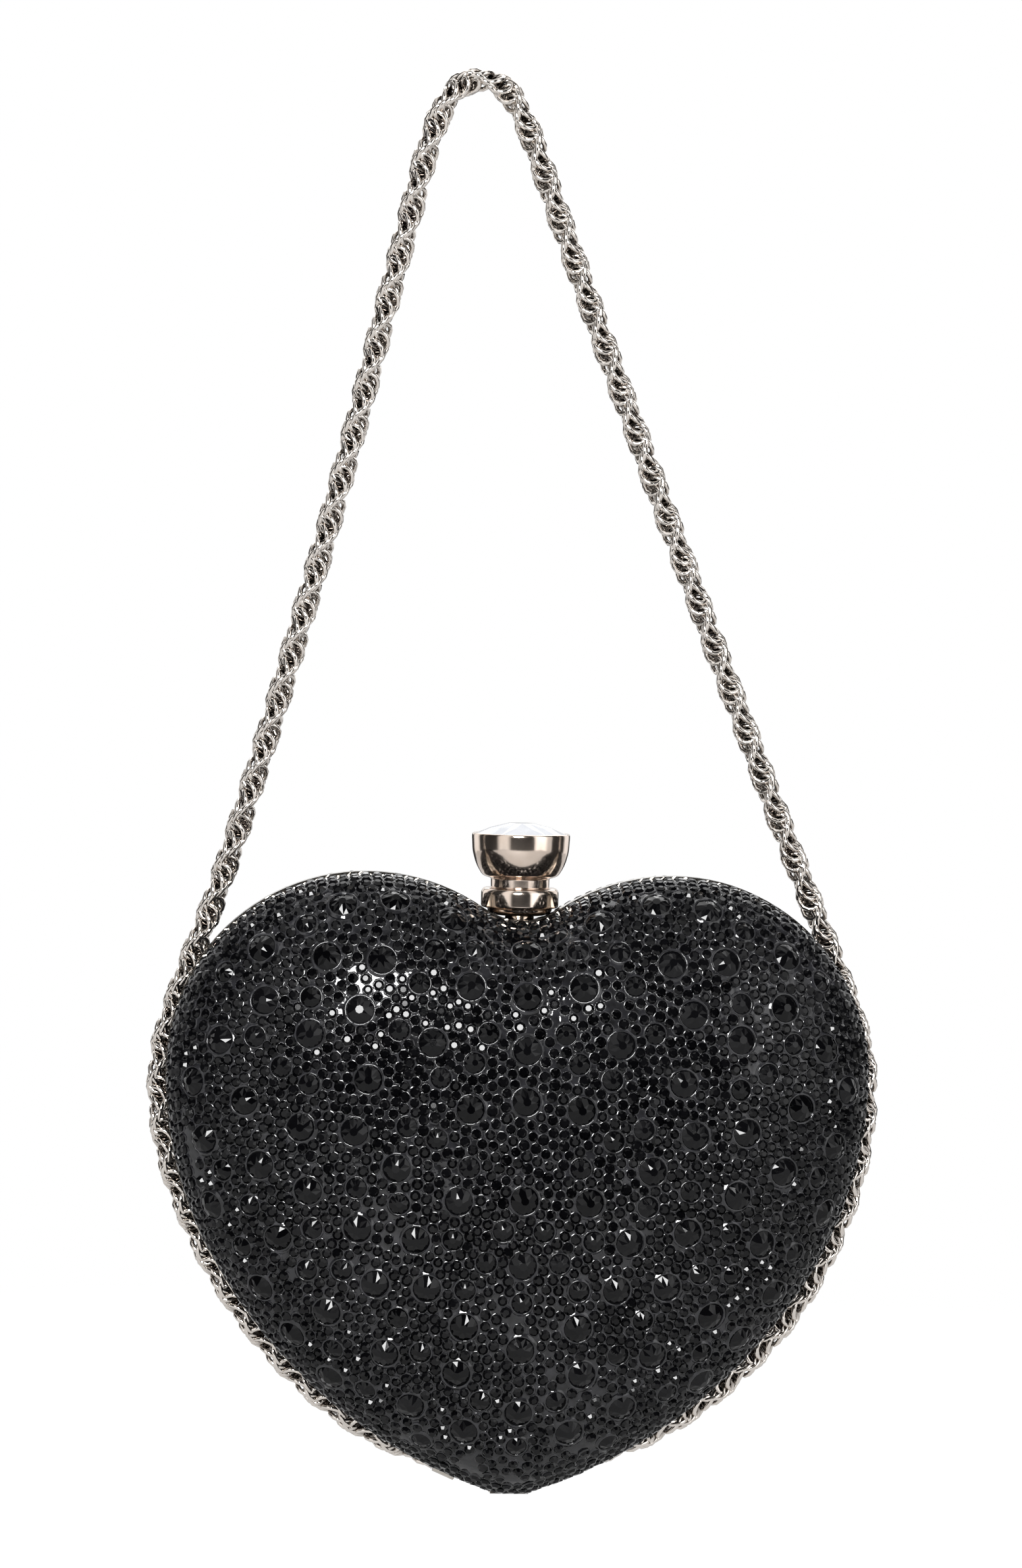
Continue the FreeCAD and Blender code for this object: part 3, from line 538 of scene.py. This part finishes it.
cloth_setback, cloth_depth = lining_setback + lining_wall, lining_depth - lining_wall
lining_u, lining_v = dome_grid(lining_columns, lining_rows, lining_last_row)
inside = dome(lining_u, lining_v, cloth_setback, cloth_depth)[0]
way_in = np.linalg.norm(np.diff(inside, axis=0), axis=-1).cumsum(0)
way_in = np.concatenate([np.zeros((1, lining_columns)), way_in])
rim_length = np.linalg.norm(np.roll(inside[0], -1, 0) - inside[0], axis=1).sum()

# A pleat's height is a squared sine of the way along the rim, with a drifting pitch, and dies away inwards
# at its own rate. The slack is a product of two slow sines over the cloth.
drift = 0
for waves in drift_waves:
    drift = drift + rng.uniform(*drift_range) * np.sin(2 * math.pi * (waves * lining_u + rng.random()))
own_reach = 1
for share, waves, start in reach_waves:
    own_reach = own_reach + share * np.sin(2 * math.pi * waves * lining_u + start)
pleat_turn = math.pi * round(rim_length / pleat_pitch) * lining_u + drift
pleats = pleat_depth * np.sin(pleat_turn) ** 2 * np.exp(-way_in / (pleat_reach * own_reach))
slack = slack_depth
for turn_x, turn_z in slack_turns:
    slack = slack * np.sin(inside[..., 0] * turn_x + inside[..., 2] * turn_z)
lining_skin = dome(lining_u, lining_v, cloth_setback, cloth_depth, -pleats - slack - stand_off)[0]
lining_crown = [0, stand_off - rim_y - cloth_depth, crown_height]
lining_points = np.vstack([lining_skin.reshape(-1, 3), [lining_crown]])
lining_faces = capped_faces(lining_rows, lining_columns)


def cut_out(made, blocks):
    """Cuts openings in a sheet: it is split along each block's sides, and what lies inside is taken out."""
    shape = bmesh.new()
    shape.from_mesh(made.data)
    for low, high in blocks:
        for corner in (low, high):
            for side in np.eye(3):
                whole = shape.verts[:] + shape.edges[:] + shape.faces[:]
                bmesh.ops.bisect_plane(shape, geom=whole, plane_co=corner, plane_no=side)
        faces = list(shape.faces)
        middles = np.array([face.calc_center_median() for face in faces])
        taken = np.flatnonzero(((low < middles) & (middles < high)).all(1))
        bmesh.ops.delete(shape, geom=[faces[number] for number in taken], context="FACES")
    shape.to_mesh(made.data)
    shape.free()


# Satin, woven from fine black filament: a soft broad sheen along the folds, and a diagonal twill, drawn
# coarse enough to show. A wave texture at scale 1 repeats every 2 pi / 10, which gives the pitch's scale.
satin = mottled(
    "black_satin_cloth",
    blotch_mm=9.0,
    low="121215",
    high="1d1d21",
    Roughness=0.36,
    Sheen_Weight=0.35,
    Sheen_Roughness=0.35,
)
tree = satin.node_tree
place = add(tree, "ShaderNodeTexCoord")
twill_scale = 2 * math.pi / 10 * 1000 / twill_pitch
weave = add(
    tree,
    "ShaderNodeTexWave",
    {"Vector": place.outputs["Object"], "Scale": twill_scale, "Distortion": twill_wander},
    bands_direction="DIAGONAL",
)
ribs = {"Height": weave.outputs["Fac"], "Distance": twill_depth / 1000, "Strength": 1.0}
bump = add(tree, "ShaderNodeBump", ribs)
tree.links.new(bump.outputs["Normal"], tree.nodes["Principled BSDF"].inputs["Normal"])

# Openings as boxes in millimetres from the tip: for the catch in front, and for the two nuts in the rear
openings = {
    "front": [((-4.6, -5.9, 125.4), (4.6, -1.0, 140.0))],
    "rear": [((-6.1, 1.0, 125.4), (6.1, 11.5, 140.0)), ((-5.2, 5.2, 0.0), (5.2, 14.6, 12.7))],
}
for half, faces in (("front", turned_over(lining_faces)), ("rear", lining_faces)):
    points = metres(on_half(half, lining_points))
    cloth = piece(half + "_satin_lining", points, faces, half + "_half", "lining_cloth", satin)
    cut_out(cloth, [(metres(low), metres(high)) for low, high in openings[half]])
    backing = cloth.modifiers.new("card_backing", "SOLIDIFY")
    backing.thickness = card_thickness / 1000
    backing.offset = -1.0
    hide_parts(half + "_lining")

# Hinge and latch
# Three knuckles on a pin at the tip, and the hook and catch under the notch, all of steel.
# They are stamped or turned, then tumbled and plated, so they are duller than the frames.

# Steel, tumbled and plated: silver grey, half bright, with no brushed grain
steel = mottled(
    "tumbled_plated_steel",
    blotch_mm=2.0,
    low="b9b2a8",
    high="cdc7be",
    relief_mm=0.015,
    Metallic=1.0,
    Roughness=0.22,
)
dress(steel, "hinge_pin", "hinge_rivets_rear", "hinge_rivets_front", "strike_plate", "strike_rivets")
dress(steel, "clasp_nut", "latch_hook", "latch_clip")

# Black nickel on the knuckles: dark and brownish, polished by wear
black_nickel = mottled(
    "black_nickel_plate",
    blotch_mm=3.0,
    low="3a3532",
    high="57504a",
    relief_mm=0.015,
    Metallic=1.0,
    Roughness=0.2,
)
dress(black_nickel, "hinge_knuckles_rear", "hinge_knuckle_front")

# Clasp
# A turned brass collar stands in the notch, and a cup shaped knob on a stem slides in it.
# Both are polished and plated with warm nickel, and the knob carries a clear cut stone.
knob_low, knob_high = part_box("clasp_knob")
collar_low, collar_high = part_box("clasp_base")
collar_axis = np.array([(knob_low.x + knob_high.x) / 2, (knob_low.y + knob_high.y) / 2])
cup_rim, stem_end = knob_high.z * 1000, knob_low.z * 1000
collar_top, collar_end = collar_high.z * 1000, collar_low.z * 1000
longest_share = 0.48


def rounded(corners, steps=6):
    """Corners of radius, height and fillet as a line: each fillet is a quadratic curve between its two legs.

    A fillet takes up no more than the longest share of a leg.
    """
    line = []
    share = np.linspace(0, 1, steps)[:, None]
    for number, (radius, height, fillet) in enumerate(corners):
        here = np.array([radius, height])
        if fillet == 0 or number in (0, len(corners) - 1):
            line.append(here[None])
            continue
        before = np.array(corners[number - 1][:2]) - here
        after = np.array(corners[number + 1][:2]) - here
        start = here + before * min(longest_share, fillet / np.linalg.norm(before))
        end = here + after * min(longest_share, fillet / np.linalg.norm(after))
        line.append((1 - share) ** 2 * start + 2 * share * (1 - share) * here + share**2 * end)
    return np.vstack(line)


def turned(corners, columns=96):
    """Corners in millimetres, rounded and carried round the clasp's upright axis."""
    radius, height = rounded(corners).T / 1000
    turn = np.arange(columns) * 2 * math.pi / columns
    x = collar_axis[0] + radius[:, None] * np.cos(turn)
    y = collar_axis[1] + radius[:, None] * np.sin(turn)
    points = np.stack([x, y, np.repeat(height[:, None], columns, 1)], -1)
    return points, grid_faces(len(radius), columns).tolist()


# Nickel with a champagne tint, polished on brass: a soft mirror of beige and brown
warm_nickel = mottled(
    "polished_champagne_nickel",
    blotch_mm=5.0,
    low="d2c1b3",
    high="dfd0c4",
    relief_mm=0.015,
    Metallic=1.0,
    Roughness=0.13,
)

# The stem, the neck, the outside of the cup, its rim and the seat of its stone
knob_corners = [
    (0.0, stem_end, 0),
    (1.3, stem_end, 0.2),
    (1.3, stem_end + 3.2, 0.1),
    (2.0, stem_end + 3.2, 0.1),
    (2.0, cup_rim - 13.1, 0.2),
    (6.85, cup_rim - 13.1, 0.3),
    (6.9, cup_rim - 10.6, 0.3),
    (8.9, cup_rim - 10.0, 0.8),
    (10.5, cup_rim - 7.4, 1.6),
    (11.35, cup_rim - 4.2, 0.9),
    (11.55, cup_rim - 0.6, 0.6),
    (11.4, cup_rim, 0.3),
    (10.62, cup_rim, 0.25),
    (10.62, cup_rim - 2.6, 0.2),
    (0.0, cup_rim - 2.6, 0),
]
knob = piece("knob_cup", *turned(knob_corners), "clasp_button", "polished_nickel", warm_nickel)
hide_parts("clasp_knob")

# The tube through the wall, the collar's foot and drum, and the well for the spring
collar_corners = [
    (2.05, collar_end, 0),
    (3.4, collar_end, 0.2),
    (3.4, collar_top - 6.6, 0.1),
    (6.0, collar_top - 6.4, 0.3),
    (7.5, collar_top - 5.6, 0.4),
    (7.6, collar_top - 4.9, 0.2),
    (9.1, collar_top - 4.5, 0.4),
    (9.1, collar_top - 0.8, 0.6),
    (8.5, collar_top, 0.5),
    (7.0, collar_top, 0.2),
    (7.0, collar_top - 3.9, 0.1),
    (2.05, collar_top - 3.9, 0.1),
    (2.05, collar_end, 0),
]
drum = piece("clasp_collar", *turned(collar_corners), "rear_half", "polished_nickel", warm_nickel)
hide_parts("clasp_base")

# Knob's stone
# A wide low brilliant of clear crystal glass with a foiled back, glued into the cup.
# Its skirt goes down to the cup's floor.
crystal_sides, crystal_radius, crystal_rise = 12, 10.5, 2.9
crystal_low, crystal_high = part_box("clasp_crystal")
crystal_depth = (crystal_high.z - crystal_low.z) * 1000

# Crystal glass, cut and foiled: white and pale grey facets, since the foil throws the light back
crystal = mottled(
    "clear_cut_crystal",
    blotch_mm=7.0,
    low="b9bcc4",
    high="d6d8dd",
    IOR=1.6,
    Roughness=0.05,
    Transmission_Weight=0.2,
)
points, faces = brilliant(crystal_sides)
skirt = 2 * crystal_sides
points = points * (crystal_radius, crystal_radius, crystal_rise)
points[:, 2] += crystal_depth - crystal_rise
points[:skirt, 2] = 0.0
points = points / 1000 + (*collar_axis, crystal_low.z)
faces = faces + [list(range(skirt - 1, -1, -1))]
stone = piece("knob_crystal", points, faces, "clasp_button", "clear_crystal", crystal, smooth=False)
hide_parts("clasp_crystal")

# Return spring
# Two and a half turns of steel wire in the collar's well, under the knob's neck.
# It shortens as the knob is pressed down, but here it is drawn at one length only.
spring_radius, spring_wire, spring_turns, pressed_share = 4.6, 0.45, 2.5, 0.47
spring_rows, spring_sides = 121, 8
spring_low, spring_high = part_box("clasp_spring")
half_wire = spring_wire / 2000

# A circle of wire carried along a helix, with both ends closed
spring_way = np.linspace(0, 1, spring_rows)[:, None]
spring_turn = spring_way * spring_turns * 2 * math.pi
side_turns = np.arange(spring_sides)[None] * 2 * math.pi / spring_sides
spring_out = spring_radius / 1000 + half_wire * np.cos(side_turns)
spring_height = spring_low.z + half_wire + spring_way * (spring_high.z - spring_low.z - 2 * half_wire)
spring_x = collar_axis[0] + spring_out * np.cos(spring_turn)
spring_y = collar_axis[1] + spring_out * np.sin(spring_turn)
coil = np.stack([spring_x, spring_y, spring_height - half_wire * np.sin(side_turns)], -1)
coil_faces = grid_faces(spring_rows, spring_sides).tolist()
coil_faces.append(list(range(spring_sides - 1, -1, -1)))
coil_faces.append(list(range((spring_rows - 1) * spring_sides, spring_rows * spring_sides)))
spring = piece("return_spring", coil, coil_faces, "rear_half", "steel_fittings", steel)
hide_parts("clasp_spring")
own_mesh(spring)

# Rope chain
# Over six hundred rings of round wire, each leaning through its neighbours on alternate sides and soldered,
# so that the two rows wind round each other. Its ends are soldered in cups on jump rings at the anchor.
chain_fittings = ("chain_end_cap_left", "chain_end_cap_right", "chain_ring_left", "chain_ring_right")
dress(steel, "chain_anchor", "chain_anchor_nut", *chain_fittings)
chain_route = [
    (-2.5, 15.0, -321.4), (-14.5, 14.5, -318.0), (-28.5, 13.5, -308.9), (-40.9, 12.5, -297.5),
    (-52.0, 12.0, -283.7), (-61.6, 12.0, -266.7), (-68.8, 12.0, -247.8), (-70.6, 12.0, -229.0),
    (-66.8, 12.0, -213.5), (-54.5, 10.3, -181.0), (-31.7, 5.6, -98.0), (-17.4, 2.4, -36.5),
    (-8.8, 0.5, -0.8), (0.0, 0.0, 4.2), (9.0, 0.5, 0.4), (21.6, 2.3, -34.0),
    (46.8, 5.6, -98.0), (80.4, 10.3, -181.0), (94.4, 12.0, -213.5), (98.2, 12.0, -229.0),
    (97.0, 12.0, -248.0), (91.2, 12.0, -267.8), (81.8, 12.0, -285.2), (70.0, 12.5, -299.2),
    (57.0, 13.5, -310.2), (42.2, 14.5, -318.2), (30.1, 15.0, -321.4),
]
chain_diameter, wire, ring_wide, ring_long, ring_shift = 6.2, 1.24, 2.46, 2.75, 0.55
link_pitch, rope_pitch, link_lean = 1.12, 21.4, math.radians(21)
link_columns, wire_columns, route_steps, path_points, look_ahead = 12, 6, 24, 500, 0.8
# The painted shade of the hollows is full inside the first radius and gone outside the second
hollow_radius, unshaded_radius = 0.9, 2.3
dent_size, dent_depth = 2.5, 0.01

# The middle line is a spline of order 3 over the route's points
route = bpy.data.curves.new("chain_route", "CURVE")
route.dimensions = "3D"
spline = route.splines.new("NURBS")
spline.points.add(len(chain_route) - 1)
route_points = np.append(np.array(chain_route) / 1000, np.ones((len(chain_route), 1)), 1)
spline.points.foreach_set("co", route_points.ravel())
spline.order_u = 3
spline.use_endpoint_u = True
spline.resolution_u = route_steps
route_object = bpy.data.objects.new("chain_route", route)
bpy.context.scene.collection.objects.link(route_object)
bpy.context.view_layer.update()
line_mesh = bpy.data.meshes.new_from_object(route_object)
line = np.empty(len(line_mesh.vertices) * 3)
line_mesh.vertices.foreach_get("co", line)
line = line.reshape(-1, 3) * 1000
bpy.data.objects.remove(route_object)
bpy.data.curves.remove(route)
bpy.data.meshes.remove(line_mesh)
along = np.append(0, np.linalg.norm(np.diff(line, axis=0), axis=1).cumsum())


def on_line(distance):
    """The chain's middle line at a distance from its start, and the direction of it there."""
    distance = np.asarray(distance)

    def spot(at):
        """The point of the line at a way along it."""
        return np.stack([np.interp(at, along, line[:, axis]) for axis in range(3)], -1)

    before, after = (np.clip(distance + step, 0, along[-1]) for step in (-look_ahead, look_ahead))
    ahead = spot(after) - spot(before)
    return spot(distance), ahead / np.linalg.norm(ahead, axis=-1, keepdims=True)


# Each oval ring lies along the chain and turns on from the last, and every other one leans and shifts the
# other way. Its wire is a circle carried round the oval.
link_count = int(along[-1] / link_pitch)
link_way = (np.arange(link_count) + 0.5) * along[-1] / link_count
middle, tangent = on_line(link_way)
flat_side = np.cross(tangent, (0, 1, 0))
flat_side /= np.linalg.norm(flat_side, axis=1, keepdims=True)
level_side = np.cross(flat_side, tangent)
twist = (-2 * math.pi * link_way / rope_pitch)[:, None]
outward = flat_side * np.cos(twist) + level_side * np.sin(twist)
around = np.cross(tangent, outward)
row_side = np.where(np.arange(link_count) % 2, 1.0, -1.0)[:, None]
shifted = middle + around * row_side * ring_shift
lengthways = tangent * math.cos(link_lean) + around * row_side * math.sin(link_lean)
ring_axis = np.cross(outward, lengthways)
link_turn = (np.arange(link_columns) * 2 * math.pi / link_columns)[None, :, None]
wire_turn = (np.arange(wire_columns) * 2 * math.pi / wire_columns)[None, None, :, None]
crosswise = outward[:, None] * np.cos(link_turn)
endwise = lengthways[:, None] * np.sin(link_turn)
spoke = (crosswise + endwise)[:, :, None]
wire_out = spoke * np.cos(wire_turn) + ring_axis[:, None, None] * np.sin(wire_turn)
ring_line = crosswise * ring_wide + endwise * ring_long
rings = shifted[:, None, None] + ring_line[:, :, None] + wire_out * wire / 2
from_middle = rings - middle[:, None, None]
from_middle -= (from_middle * tangent[:, None, None]).sum(-1, keepdims=True) * tangent[:, None, None]
number = np.arange(link_columns * wire_columns).reshape(link_columns, wire_columns)
beside = np.roll(number, -1, 0)
one_ring = np.stack([number, beside, np.roll(beside, -1, 1), np.roll(number, -1, 1)], -1).reshape(-1, 4)
first_points = (np.arange(link_count) * number.size)[:, None, None]
ring_faces = (one_ring[None] + first_points).reshape(-1, 4).tolist()

# Plated brass wire, drawn and polished: bright silver outside, and painted brown shade in the rope's hollows,
# darkest nearest its middle line
chain_metal, tree, shader = finish("polished_plated_wire", Metallic=1.0, Roughness=0.1)
depth = add(tree, "ShaderNodeAttribute", attribute_name="from_middle")
unshaded_share = add(
    tree,
    "ShaderNodeMapRange",
    {"Value": depth.outputs["Fac"], "From Min": hollow_radius, "From Max": unshaded_radius},
)
# Painted shade: the colour runs from dark brown at the hollows to bright silver on the outside
ramp = add(tree, "ShaderNodeValToRGB", {"Fac": unshaded_share.outputs["Result"]})
ramp.color_ramp.elements[0].color = rgb("4b443e")
ramp.color_ramp.elements[1].color = rgb("e2dbd4")
tree.links.new(ramp.outputs["Color"], shader.inputs["Base Color"])
place = add(tree, "ShaderNodeTexCoord")
noise_inputs = {"Vector": place.outputs["Object"], "Scale": 1000 / dent_size, "Detail": 3.0}
dents = add(tree, "ShaderNodeTexNoise", noise_inputs)
dent_inputs = {"Height": dents.outputs["Fac"], "Distance": dent_depth / 1000, "Strength": 1.0}
bump = add(tree, "ShaderNodeBump", dent_inputs)
tree.links.new(bump.outputs["Normal"], shader.inputs["Normal"])

chain = piece("rope_chain", rings / 1000, ring_faces, "rear_half", "chain_metal", chain_metal)
depths = np.linalg.norm(from_middle, axis=-1).astype(np.float32).ravel()
chain.data.attributes.new("from_middle", "FLOAT", "POINT").data.foreach_set("value", depths)
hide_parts("strap_chain")
path = on_line(np.linspace(0, along[-1], path_points))[0]

# Studio
# A white paper floor well below the tip, clear of the open front half, and soft lamps on three sides.
# The surroundings are white to the eye, but what shines sees a darker room with six light panels.
floor_reach, floor_z, fade_start, fade_end = 0.8, -0.367, 0.42, 0.75
paper_glow, glow_in_metal = 0.85, 0.5
room_level, panel_level, overhead_level, diffuse_level = 0.04, 1.2, 0.5, 0.4
panel_edge, overhead_edge, back_edge, back_foot = (0.3, 0.8), (0.8, 0.85), (0.8, 0.92), (0.0, 0.06)
floor_corners = [(x * floor_reach, y * floor_reach, floor_z) for x, y in ((-1, -1), (1, -1), (1, 1), (-1, 1))]
floor_mesh = bpy.data.meshes.new("floor")
floor_mesh.from_pydata(floor_corners, [], [(0, 1, 2, 3)])
floor = bpy.data.objects.new("floor", floor_mesh)
bpy.context.scene.collection.objects.link(floor)

# Paper: dull and even, white to the eye, and further off it runs over into the white of the surroundings
paper_colours = {"Base_Color": rgb("787878"), "Emission_Color": rgb("ffffff")}
paper, tree, shader = finish("studio_paper", Roughness=0.8, **paper_colours)
place = add(tree, "ShaderNodeTexCoord")
away = add(tree, "ShaderNodeVectorMath", {0: place.outputs["Object"]}, operation="LENGTH")
fade_inputs = {"Value": away.outputs["Value"], "From Min": fade_start, "From Max": fade_end}
fade = add(tree, "ShaderNodeMapRange", fade_inputs)
seen = add(tree, "ShaderNodeLightPath")
eye_rays = {0: seen.outputs["Is Camera Ray"], 1: seen.outputs["Is Transmission Ray"]}
looked_at = add(tree, "ShaderNodeMath", eye_rays, operation="MAXIMUM")
metal_rays = {0: seen.outputs["Is Glossy Ray"], 1: glow_in_metal}
in_metal = add(tree, "ShaderNodeMath", metal_rays, operation="MULTIPLY")
glow_inputs = {0: looked_at.outputs["Value"], 1: paper_glow, 2: in_metal.outputs["Value"]}
glow = add(tree, "ShaderNodeMath", glow_inputs, operation="MULTIPLY_ADD")
tree.links.new(glow.outputs["Value"], shader.inputs["Emission Strength"])
far_inputs = {0: fade.outputs["Result"], 1: looked_at.outputs["Value"]}
far_share = add(tree, "ShaderNodeMath", far_inputs, operation="MULTIPLY")
white = add(tree, "ShaderNodeEmission", {"Color": rgb("ffffff"), "Strength": 1.0})
both_inputs = {0: far_share.outputs["Value"], 1: shader.outputs["BSDF"], 2: white.outputs["Emission"]}
both = add(tree, "ShaderNodeMixShader", both_inputs)
tree.links.new(both.outputs["Shader"], tree.nodes["Material Output"].inputs["Surface"])
floor_mesh.materials.append(paper)

# The room: four tall panels stand where a sine of four times the heading is high, one more stands behind,
# from the level of the eye up, and one lies overhead. Each soft edge is a range of what it follows.
world = bpy.data.worlds.new("studio")
bpy.context.scene.world = world
world.use_nodes = True
tree = world.node_tree
tree.nodes.clear()
toward = add(tree, "ShaderNodeTexCoord")
split = add(tree, "ShaderNodeSeparateXYZ", {"Vector": toward.outputs["Generated"]})
heading = add(tree, "ShaderNodeMath", {0: split.outputs["Y"], 1: split.outputs["X"]}, operation="ARCTAN2")
fourfold_inputs = {0: heading.outputs["Value"], 1: 4.0, 2: -math.pi / 2}
fourfold = add(tree, "ShaderNodeMath", fourfold_inputs, operation="MULTIPLY_ADD")
wave = add(tree, "ShaderNodeMath", {0: fourfold.outputs["Value"]}, operation="SINE")
edges = [
    (wave.outputs["Value"], panel_edge, room_level, panel_level),
    (split.outputs["Z"], overhead_edge, 0.0, overhead_level),
    (split.outputs["Y"], back_edge, 0.0, 1.0),
    (split.outputs["Z"], back_foot, 0.0, 1.0),
]
edge_inputs = [
    {"Value": value, "From Min": edge[0], "From Max": edge[1], "To Min": dark, "To Max": light}
    for value, edge, dark, light in edges
]
panels, overhead, behind, above = (add(tree, "ShaderNodeMapRange", inputs) for inputs in edge_inputs)
back_inputs = {0: behind.outputs["Result"], 1: above.outputs["Result"]}
back_panel = add(tree, "ShaderNodeMath", back_inputs, operation="MULTIPLY")
high_inputs = {0: back_panel.outputs["Value"], 1: overhead.outputs["Result"]}
high_panels = add(tree, "ShaderNodeMath", high_inputs, operation="MAXIMUM")
shiny_inputs = {0: panels.outputs["Result"], 1: high_panels.outputs["Value"]}
shiny = add(tree, "ShaderNodeMath", shiny_inputs, operation="MAXIMUM")
seen = add(tree, "ShaderNodeLightPath")
mirror_rays = {0: seen.outputs["Is Glossy Ray"], 1: seen.outputs["Is Transmission Ray"]}
mirrored = add(tree, "ShaderNodeMath", mirror_rays, operation="MAXIMUM")
unseen_inputs = {"Factor": mirrored.outputs["Value"], "A": diffuse_level, "B": shiny.outputs["Value"]}
unseen = add(tree, "ShaderNodeMix", unseen_inputs, data_type="FLOAT")
level_inputs = {"Factor": seen.outputs["Is Camera Ray"], "A": unseen.outputs["Result"], "B": 1.0}
level = add(tree, "ShaderNodeMix", level_inputs, data_type="FLOAT")
sky = add(tree, "ShaderNodeBackground", {"Color": rgb("ffffff"), "Strength": level.outputs["Result"]})
add(tree, "ShaderNodeOutputWorld", {"Surface": sky.outputs["Background"]})

bag_middle = (middle_x / 1000, 0.0, -0.24)


def lamp(name, place, size, watts):
    """A square soft box that faces the middle of the bag."""
    light = bpy.data.lights.new(name, "AREA")
    light.shape = "SQUARE"
    light.size = size
    light.energy = watts
    made = bpy.data.objects.new(name, light)
    made.location = place
    made.rotation_euler = (Vector(bag_middle) - Vector(place)).to_track_quat("-Z", "Y").to_euler()
    bpy.context.scene.collection.objects.link(made)


lamp("key_front", (-0.16, -0.98, 0.19), size=0.34, watts=14.0)
lamp("fill_right", (0.9, -0.7, -0.05), size=1.0, watts=2.5)
lamp("back_top", (0.1, 0.75, 0.6), size=1.1, watts=7.0)

# The camera stands a little to the left of the front and leans as the photograph does
distance, yaw, height, roll = 1.2, math.radians(4), math.radians(2), math.radians(1.2)
picture_rows, rows_per_metre, sensor = 2380, 6490, 36.0
aim = Vector((0.0108, 0.0, -0.1606))
forward = Vector((math.sin(yaw) * math.cos(height), math.cos(yaw) * math.cos(height), -math.sin(height)))
level_right = Vector((math.cos(yaw), -math.sin(yaw), 0))
upright = level_right.cross(forward)
right = level_right * math.cos(roll) + upright * math.sin(roll)
up = upright * math.cos(roll) - level_right * math.sin(roll)
camera = bpy.data.cameras.new("camera")
camera.sensor_fit = "VERTICAL"
camera.sensor_height = sensor
camera.lens = sensor * distance / (picture_rows / rows_per_metre)
camera_object = bpy.data.objects.new("camera", camera)
turn = Matrix((right, up, -forward)).transposed().to_4x4()
camera_object.matrix_world = Matrix.Translation(aim - forward * distance) @ turn
bpy.context.scene.collection.objects.link(camera_object)
bpy.context.scene.camera = camera_object
bpy.context.scene.view_settings.view_transform = "Standard"
